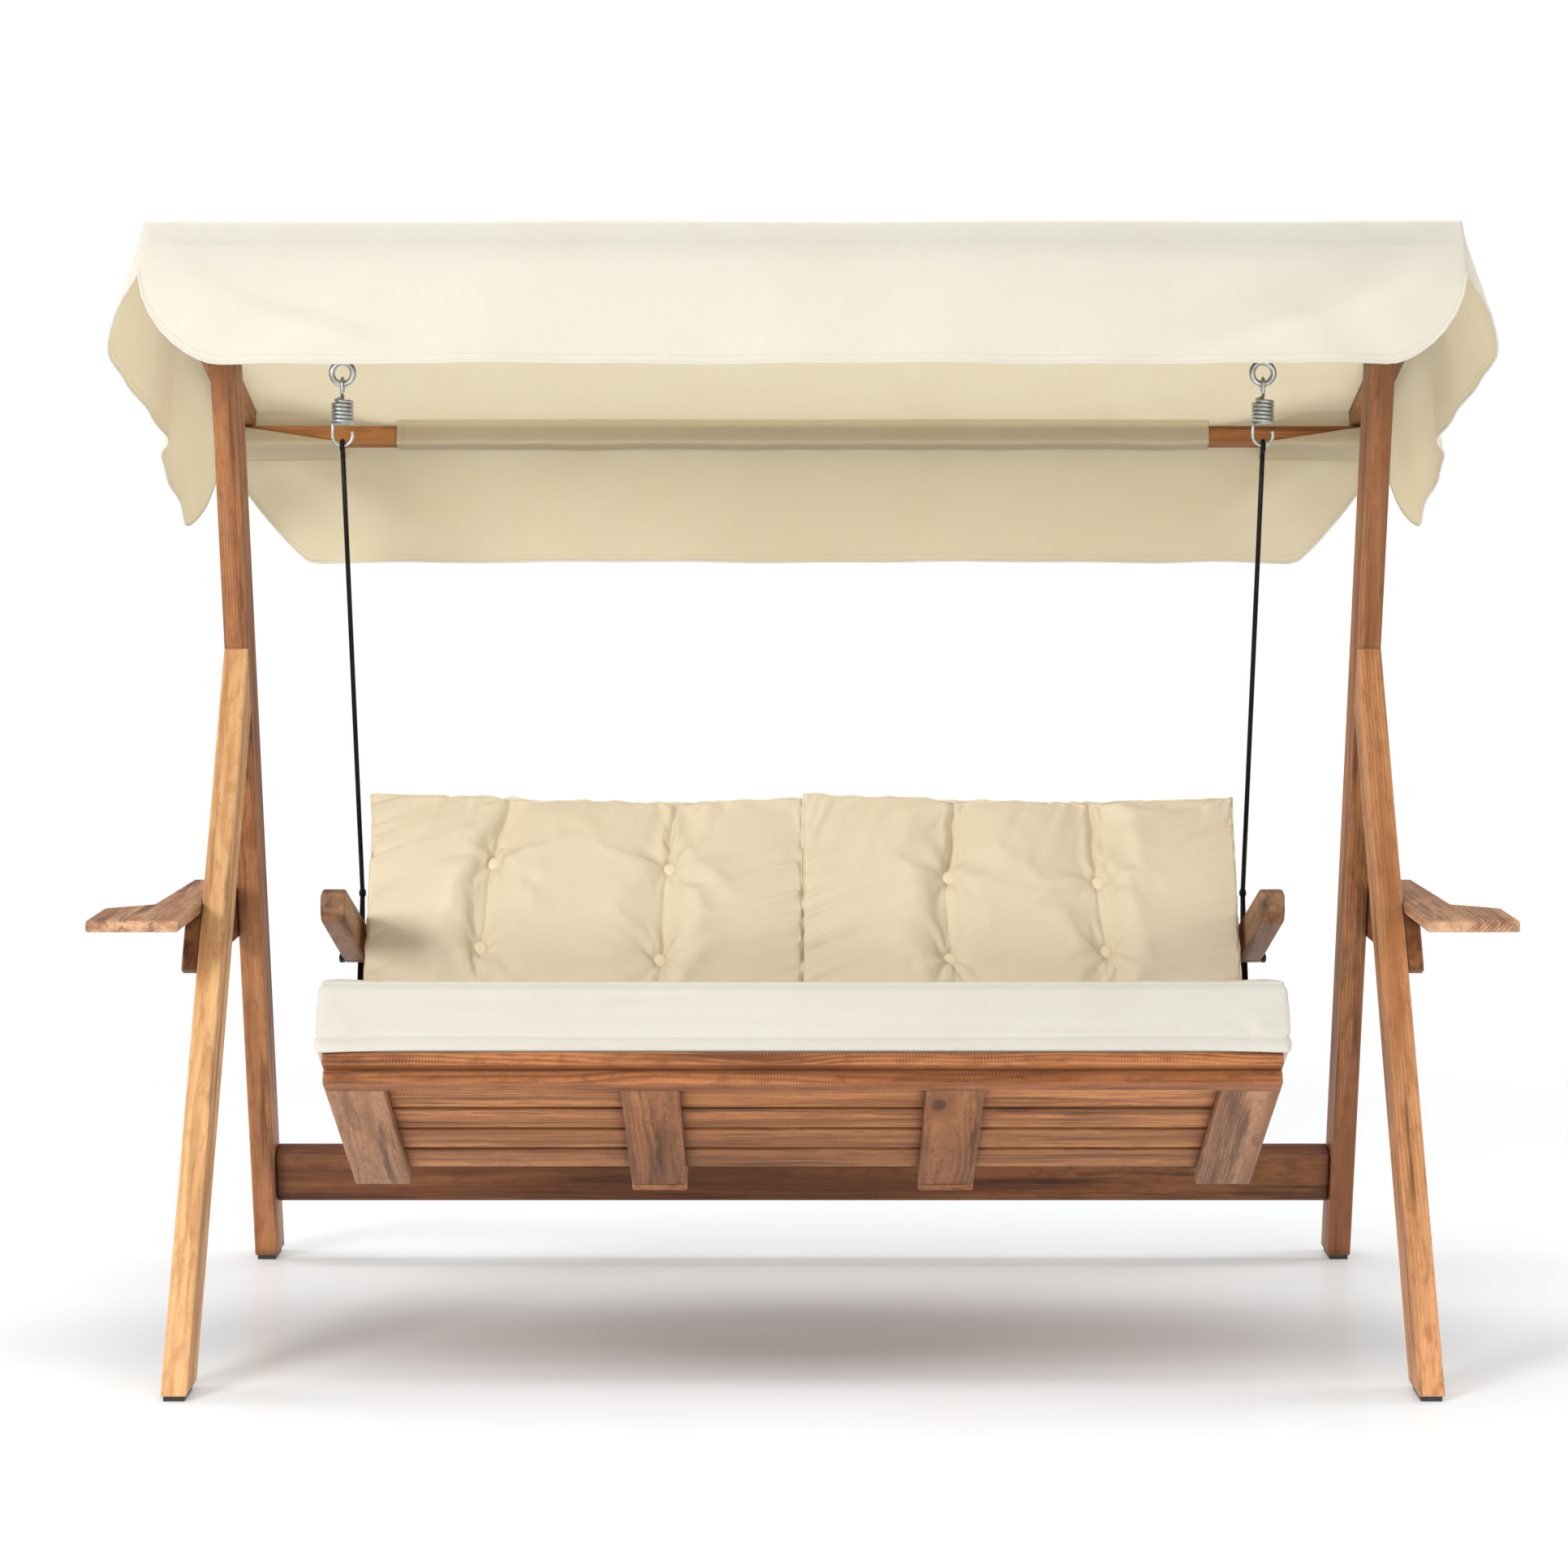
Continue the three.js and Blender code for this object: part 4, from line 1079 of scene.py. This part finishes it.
def build_seat_cushion(material):
    """A long boxed foam cushion: soft edges, a seam round the top and one above the bottom."""
    full_low, full_high = local_box("seat_cushion", SEAT)
    low = full_low + np.array([0.004, 0.004, 0.0004])
    high = full_high - np.array([0.004, 0.004, 0.006])
    band = low[2] + LOW_SEAM
    heights = np.concatenate([
        low[2] + np.array([0, 0.005, 0.012]), band + np.array([-0.003, 0, 0.003]),
        np.linspace(band + 0.010, high[2] - 0.012, 11), high[2] - np.array([0.005, 0]),
    ])
    level_stops = [stops(low[axis], high[axis], SEAT_STEP, 0.004) for axis in (0, 1)]
    lattice, faces = lattice_box(level_stops + [heights])
    shaped = round_box(lattice, low, high, SEAT_ROUNDING)
    u = (shaped - (low + high) / 2) / ((high - low) / 2)
    # Foam pulls in a little along each side and crowns on top.
    shaped[:, 1] -= np.sign(u[:, 1]) * FOAM_PULL[1] * (1 - u[:, 0] ** 8) * (np.abs(u[:, 1]) > 0.9)
    shaped[:, 0] -= np.sign(u[:, 0]) * FOAM_PULL[0] * (1 - u[:, 1] ** 4) * (np.abs(u[:, 0]) > 0.98)
    shaped[:, 2] += FOAM_CROWN * (1 - u[:, 0] ** 6) * (1 - u[:, 1] ** 4) * (u[:, 2] > 0.5)
    from_side = np.minimum(high[1] - lattice[:, 1], lattice[:, 1] - low[1])
    on_side = np.minimum(from_side, high[0] - np.abs(lattice[:, 0])) < 1e-6
    top_seam = bell(lattice[:, 2] - (high[2] - 0.005), 0.003)
    seam = on_side * np.maximum(top_seam, bell(lattice[:, 2] - band, 0.002))
    world = carried(shaped, SEAT)
    piece = new_mesh("seat_cushion_boxed", world, faces, material)
    store(piece, "flat", lattice)
    world = inflate(piece, world, lattice[:, 2] < low[2] + 1e-6, seam, *SEAT_AIR)
    local = refit(carried(world, SEAT.inverted()), full_low, full_high, (0, 1))
    # The top edge reaches the solid's top, and the bottom sags over the first slat's edge.
    rim = on_side & (lattice[:, 2] > high[2] - 1e-6)
    stretch = (full_high[2] - low[2] - 0.001) / (local[rim, 2].mean() - low[2])
    local[:, 2] = low[2] + (local[:, 2] - low[2]) * stretch
    outward = np.zeros_like(local)
    for axis, near in ((1, 0.9), (0, 0.99)):
        faced = on_side & (np.abs(u[:, axis]) > near)
        outward[faced, axis] = np.sign(u[faced, axis])
    local = local - outward * (SEAM_SINK * seam + face_creases(lattice, low, high))[:, None]
    local[:, 2] = np.maximum(local[:, 2], low[2])
    over = ease(-local[:, 1], 0.0005, 0.009) * ease(band + 0.03 - local[:, 2], 0.0, 0.05)
    local[:, 2] -= OVERHANG * over
    set_coordinates(piece, carried(local, SEAT))
    subdivide(piece)
    dress(piece, "bench", "seat_cushion")
    return high[2]


def face_creases(lattice, low, high):
    """Faint long creases across the upright faces of the seat cushion, in metres."""
    draw = random.Random("seat creases")
    x, z = lattice[:, 0] + lattice[:, 1], lattice[:, 2]
    depth = np.zeros(len(lattice))
    for number in range(7):
        height = draw.uniform(low[2] + 0.030, high[2] - 0.022)
        centre, reach = draw.uniform(-0.65, 0.65), draw.uniform(0.14, 0.34)
        line = height + 0.006 * np.sin(x * draw.uniform(4, 8) + number)
        depth += 0.0014 * bell(z - line, 0.0065) * bell(x - centre, reach)
    return depth


def crowded_stops(count, centres=()):
    """Stops from -1 to 1 that crowd together near both ends and near the centres."""
    fine = np.linspace(-1, 1, 4001)
    density = 1 + 3 * bell(1 - np.abs(fine), 0.07)
    for centre in centres:
        density = density + 2.2 * bell(fine - centre, 0.07)
    total = np.cumsum(density)
    total = (total - total[0]) / (total[-1] - total[0])
    return np.interp(np.linspace(0, 1, count), total, fine)


class Panel:
    """The front of a back cushion: u and v run from -1 to 1 across and up it."""

    def __init__(self, side, half):
        self.columns = TUFTS[side]
        self.buttons = self.columns[0] + self.columns[1]
        self.width, self.height = half[0], half[2]
        middles = [(low_u + up_u) / 2 for (low_u, _), (up_u, _) in self.columns]
        across, up = crowded_stops(COLUMNS, middles), crowded_stops(ROWS)
        self.u, self.v = np.meshgrid(across, up, indexing="ij")
        self.draw = random.Random(f"back_cushion_{side}")
        self.edge = (np.abs(self.u) > 1 - 1e-9) | (np.abs(self.v) > 1 - 1e-9)

    def off_column(self, pair):
        """Distance from the line of a button column, in metres."""
        (u0, v0), (u1, v1) = pair
        line = u0 + (u1 - u0) * (self.v - v0) / (v1 - v0) + 0.010 * np.sin(self.v * 5 + u0 * 9)
        return (self.u - line) * self.width

    def off_button(self, button):
        """Distance to the right of a button, above it and from it, in metres."""
        east = (self.u - button[0]) * self.width
        north = (self.v - button[1]) * self.height
        return east, north, np.hypot(east, north)

    def off_buttons(self):
        """Distance from the nearest button, in metres."""
        return np.min([self.off_button(button)[2] for button in self.buttons], axis=0)

    def hollows(self):
        """How far the tufting draws the front cloth behind its smooth crown, in metres."""
        depth = np.zeros_like(self.u)
        for lower, upper in self.columns:
            above = ease(self.v, upper[1] - 0.05, upper[1] + 0.15)
            below = 1 - ease(self.v, lower[1] - 0.15, lower[1] + 0.05)
            valley = bell(self.off_column((lower, upper)), 0.050)
            depth += 0.020 * (0.75 + 0.35 * above - 0.35 * below) * valley
            for button in (lower, upper):
                east, north, gap = self.off_button(button)
                depth += 0.023 * np.exp(-gap / 0.024)
                spokes = np.zeros_like(gap)
                for count in (3, 5, 8):
                    turn = count * np.arctan2(north, east) + self.draw.uniform(0, 2 * math.pi)
                    spokes += self.draw.uniform(0.6, 1.0) * np.cos(turn + 9 * gap)
                depth += 0.0022 * spokes * ease(gap, 0.010, 0.028) * np.exp(-gap / 0.055)
        return depth

    def creases(self):
        """The sharper folds: one along each column and a few from each button."""
        depth = np.zeros_like(self.u)
        for lower, upper in self.columns:
            off = self.off_column((lower, upper))
            above = ease(self.v, upper[1], upper[1] + 0.18)
            below = 1 - ease(self.v, lower[1] - 0.18, lower[1])
            fold = 0.0110 * np.exp(-np.abs(off) / 0.0050) + 0.004 * bell(off, 0.024)
            depth += (0.75 + 0.55 * above - 0.45 * below) * fold
            # A pleat lies beside the crease where it meets the top seam.
            depth += 0.0046 * above * bell(off - 0.019, 0.006)
            depth -= 0.0040 * above * bell(off + 0.013, 0.008)
            for button in (lower, upper):
                for spread in (-1.05, -0.35, 0.45, 1.1, 2.6):
                    depth += self.button_fold(button, spread)
        return depth

    def button_fold(self, button, spread):
        """A ridge and valley that leave a button on its outer side, turned by spread."""
        outward = 0.0 if button[0] > 0 else math.pi
        angle = outward + spread + self.draw.uniform(-0.25, 0.25)
        length = self.draw.uniform(0.07, 0.17)
        size = self.draw.uniform(0.0024, 0.0050)
        east, north, _ = self.off_button(button)
        along = east * math.cos(angle) + north * math.sin(angle)
        across = north * math.cos(angle) - east * math.sin(angle)
        width = 0.006 + 0.06 * np.clip(along, 0.0, 0.2)
        fade = ease(along, 0.004, 0.03) * (1 - ease(along, 0.35 * length, length))
        return size * fade * (bell(across, width) - 0.7 * bell(across - 2 * width, 1.2 * width))

    def gathers(self):
        """Small folds that run in from the seam all round, deeper in the side seams."""
        depth = np.zeros_like(self.u)
        for along, across, metres, inward, size in (
            (self.v, self.u, self.height, self.width, 0.0034),
            (self.u, self.v, self.width, self.height, 0.0013),
        ):
            from_seam, end = (1 - np.abs(across)) * inward, np.sign(across)
            run = along * metres
            folds = np.zeros_like(run)
            for length in (0.052, 0.031, 0.019):
                turn = self.draw.uniform(0, 2 * math.pi) + 3 * end
                crest = np.cos(2 * math.pi * (run + 0.35 * end * from_seam) / length + turn)
                folds += crest * np.exp(-from_seam / (0.020 + 1.1 * length))
            lull = 0.55 + 0.45 * np.sin(run * 17 + self.draw.uniform(0, 6) + end)
            depth += size * folds * lull * ease(from_seam, 0.0, 0.006)
        return depth


def build_back_cushion(side, material, button_material, seat_top):
    """A knife-edged pillow, tufted with two by two buttons and creased through each column."""
    node, sign = f"back_cushion_{side}", SIDES[side]
    low, high = local_box(node, BACK)
    middle, half = (low + high) / 2, (high - low) / 2
    panel = Panel(side, half)
    u, v, edge = panel.u, panel.v, panel.edge
    # The outer side pulls in between its corners, and the top edge sinks towards the middle.
    x = middle[0] + half[0] * u * (1 - 0.010 * (1 - v ** 2))
    sink = 0.030 * (1 - u ** 2) + 0.010 * (1 + u) + 0.008 * np.sin(3 * u)
    z = middle[2] + half[2] * v * (1 - np.where(v > 0, sink, 0.012 * (1 - u ** 2)))
    across, up = BODY_ROUNDNESS
    body = ((1 - np.abs(u) ** across) * (1 - np.abs(v) ** up)) ** 0.5
    seam_y = middle[1] - SEAM_FORWARD
    hollows = panel.hollows() * body ** 0.5
    creases = panel.creases() * body ** 0.35
    gathers = panel.gathers()
    front = body * (seam_y - low[1] - 0.004) - hollows - gathers
    rear = body * (rear_rest(x) - seam_y) * 0.98
    sway = 0.0030 * np.sin(u * 41 + v * 37) * edge
    layers = [xyz(x, seam_y + lift * ~edge + sway, z) for lift in (-front, rear)]

    # The two layers share the points of the seam; order gives each grid point its vertex.
    count = COLUMNS * ROWS
    faces = grid_faces(COLUMNS, ROWS) + grid_faces(COLUMNS, ROWS, count, flip=True)
    joined = np.arange(2 * count)
    rim = np.where(edge.ravel())[0]
    joined[count + rim] = rim
    used, order = np.unique(joined, return_inverse=True)
    faces = [tuple(int(order[i]) for i in face) for face in faces]

    def both_layers(front_values, rear_values):
        return np.concatenate([front_values.ravel(), rear_values.ravel()])[used]

    world = carried(np.concatenate(layers).reshape(-1, 3)[used], BACK)
    piece = new_mesh(f"{node}_tufted", world, faces, material)
    store(piece, "flat", np.tile(xyz(x, 0, z).reshape(-1, 3), (2, 1))[used])
    hold = both_layers(panel.off_buttons() < BUTTON_HOLD, 0 * u)
    near = np.maximum(np.abs(u) ** 24, np.abs(v) ** 24)
    world = inflate(piece, world, hold, both_layers(near, near), *BACK_AIR)
    local = refit(carried(world, BACK.inverted()), low, high, (0, 2))
    late = both_layers(creases + 0.5 * gathers, 0 * creases)
    local[:, 1] = np.minimum(local[:, 1] + late, rear_rest(local[:, 0]))
    # The inner sides press against each other, so that side is drawn out straight.
    inner = order[(0 if sign > 0 else COLUMNS - 1) * ROWS:][:ROWS]
    short = np.tile(sign * INNER_GAP - local[inner, 0], COLUMNS)
    inward = ease(-sign * u, 0.1, 1.0)
    local[:, 0] += both_layers(short, short) * both_layers(inward, inward)
    on_seat = carried(carried(local, BACK), SEAT.inverted())
    on_seat[:, 2] = np.maximum(on_seat[:, 2], seat_top + SEAT_GAP)
    world = carried(on_seat, SEAT)
    set_coordinates(piece, world)
    subdivide(piece)
    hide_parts(node)

    edging = Shape().tube(world[order[seam_loop()]], SEAM_CORD, 8, closed=True)
    pieces = [piece, edging.piece(f"{node}_seam", material)]
    facing = (BACK.to_3x3() @ Vector((0, -1, 0))).normalized()
    turn = facing.to_track_quat("Z", "Y").to_matrix().to_4x4()
    for number, button in enumerate(panel.buttons, 1):
        nearest = np.argsort(panel.off_button(button)[2].ravel())[:9]
        spot = Vector(world[order[nearest]].mean(0)) + facing * BUTTON_LIFT
        shape = Shape().lathe(BUTTON, Matrix.Translation(spot) @ turn, 28)
        pieces.append(shape.piece(f"{node}_button_{number}", button_material))
    for part in pieces:
        dress(part, "bench")


def seam_loop():
    """The grid points of a back cushion along its seam, once round."""
    loop = [(i, 0) for i in range(COLUMNS)] + [(COLUMNS - 1, j) for j in range(1, ROWS)]
    loop += [(i, ROWS - 1) for i in range(COLUMNS - 2, -1, -1)]
    loop += [(0, j) for j in range(ROWS - 2, 0, -1)]
    return [i * ROWS + j for i, j in loop]


def rear_rest(x):
    """How far back a cushion may reach: to the slats, or to the proud boards at the sides."""
    inner_face = reach_of("back_side_board_right")[0]
    return -0.003 - 0.0285 * ease(np.abs(x), inner_face - 0.055, inner_face - 0.003)


def build_cushions():
    ivory = cloth("seat_cloth", (214, 210, 199), (201, 196, 183), crumple=0.30)
    # Painted shade: the back cushions and their buttons get a warmer copy of the seat's cloth, for
    # the warm shade under the canopy.
    canopy_shaded_cloth = cloth("back_cloth", (230, 218, 191), (217, 202, 171), crumple=0.30)
    button = cloth("button_cloth", (234, 221, 194), (217, 202, 171), crumple=0.1)
    seat_top = build_seat_cushion(ivory)
    for side in SIDES:
        build_back_cushion(side, canopy_shaded_cloth, button, seat_top)


# ---------------------------------------------------------------- floor, light and camera

FLOOR_RADIUS = 4
IMAGE_SIDE = 1932
FOCAL_PIXELS = 5280
CAMERA_BACK = 6.4  # from the front toes
CAMERA_HEIGHT = 1.435
HORIZON_ROW = 543.6
CENTRE_COLUMN = 989.0


def pale_floor():
    """A pale, faintly glossy floor that fades into the white backdrop, with no horizon."""
    g = Graph("pale_floor")
    here = g.here()
    # Painted shadow: the floor's emission lift dies out and turns dark under the bench, drawing the
    # contact shadow there.
    under = g.vector("MULTIPLY", g.vector("ADD", here, (0.0, 0.12, 0.0)), (0.75, 2.3, 1.0))
    lift = g.span(g.vector("LENGTH", under), 0.25, 1.15, -0.10, 0.22)
    glow = {"Emission_Color": (1.0, 1.0, 1.0, 1.0), "Emission_Strength": lift}
    ground = g.surface(srgb(233, 237, 240), 0.30, Specular_IOR_Level=0.30, **glow)
    fade = g.span(g.vector("LENGTH", here), 1.7, 3.6)
    material = g.done(g.node("MixShader", {0: fade, 1: ground, 2: g.node("BsdfTransparent")}))
    rim = [(FLOOR_RADIUS * c, FLOOR_RADIUS * s, 0) for c, s in circle(96)]
    new_mesh("floor", rim, [range(96)], material, smooth=False)


def area_light(name, place, target, size, power, colour=(1, 1, 1)):
    data = bpy.data.lights.new(name, "AREA")
    data.shape = "RECTANGLE"
    data.size, data.size_y = size
    data.energy = power
    data.color = colour
    lamp = linked(name, data)
    lamp.location = place
    lamp.rotation_euler = (Vector(target) - Vector(place)).to_track_quat("-Z", "Y").to_euler()


def light_studio():
    """White surroundings that the camera sees brighter than they shine, and soft boxes."""
    g = Graph("studio", bpy.data.worlds)
    seen = g.node("LightPath", output="Is Camera Ray")
    strength = g.node("MapRange", {"Value": seen, "To Min": 0.37, "To Max": 1.02})
    white = g.node("Background", {"Color": (1, 1, 1, 1), "Strength": strength})
    bpy.context.scene.world = g.done(white, "World")
    area_light("key", (-4.2, -5.5, 2.9), (0, 0, 0.9), (2.2, 1.6), 280, (1, 0.992, 0.98))
    area_light("fill", (4.2, -5.4, 1.8), (0, 0, 0.9), (3.0, 2.4), 52)
    area_light("low", (0.3, -5.2, 0.45), (0, 0, 1.3), (3.4, 0.7), 50)
    area_light("top", (0, 0.1, 4.6), (0, 0, 0), (3.0, 2.2), 135)
    for name, sign in SIDES.items():
        area_light(f"rim_{name}", (sign * 4.4, 0.9, 1.7), (sign, 0.1, 1.4), (1.8, 1.8), 80)


def place_camera():
    data = bpy.data.cameras.new("camera")
    data.sensor_width = 36
    data.lens = data.sensor_width * FOCAL_PIXELS / IMAGE_SIDE
    data.shift_x = (IMAGE_SIDE / 2 - CENTRE_COLUMN) / IMAGE_SIDE
    camera = linked("camera", data)
    # The level camera looks through a lowered lens, but only from its own height, so that
    # any other viewpoint aims straight at the bench.
    shift = (HORIZON_ROW - IMAGE_SIDE / 2) / IMAGE_SIDE
    driver = data.driver_add("shift_y").driver
    height = driver.variables.new()
    height.name = "height"
    height.type = "TRANSFORMS"
    height.targets[0].id = camera
    height.targets[0].transform_type = "LOC_Z"
    driver.expression = f"{shift} if abs(height - {CAMERA_HEIGHT}) < 0.0005 else 0"
    camera.location = (0, CAD_BOX[0].y - CAMERA_BACK, CAMERA_HEIGHT)
    camera.rotation_euler = (math.radians(90), 0, 0)
    bpy.context.scene.camera = camera
    bpy.context.scene.view_settings.view_transform = "Standard"


finish_timber()
build_hardware()
build_canopy()
build_cushions()
pale_floor()
light_studio()
place_camera()
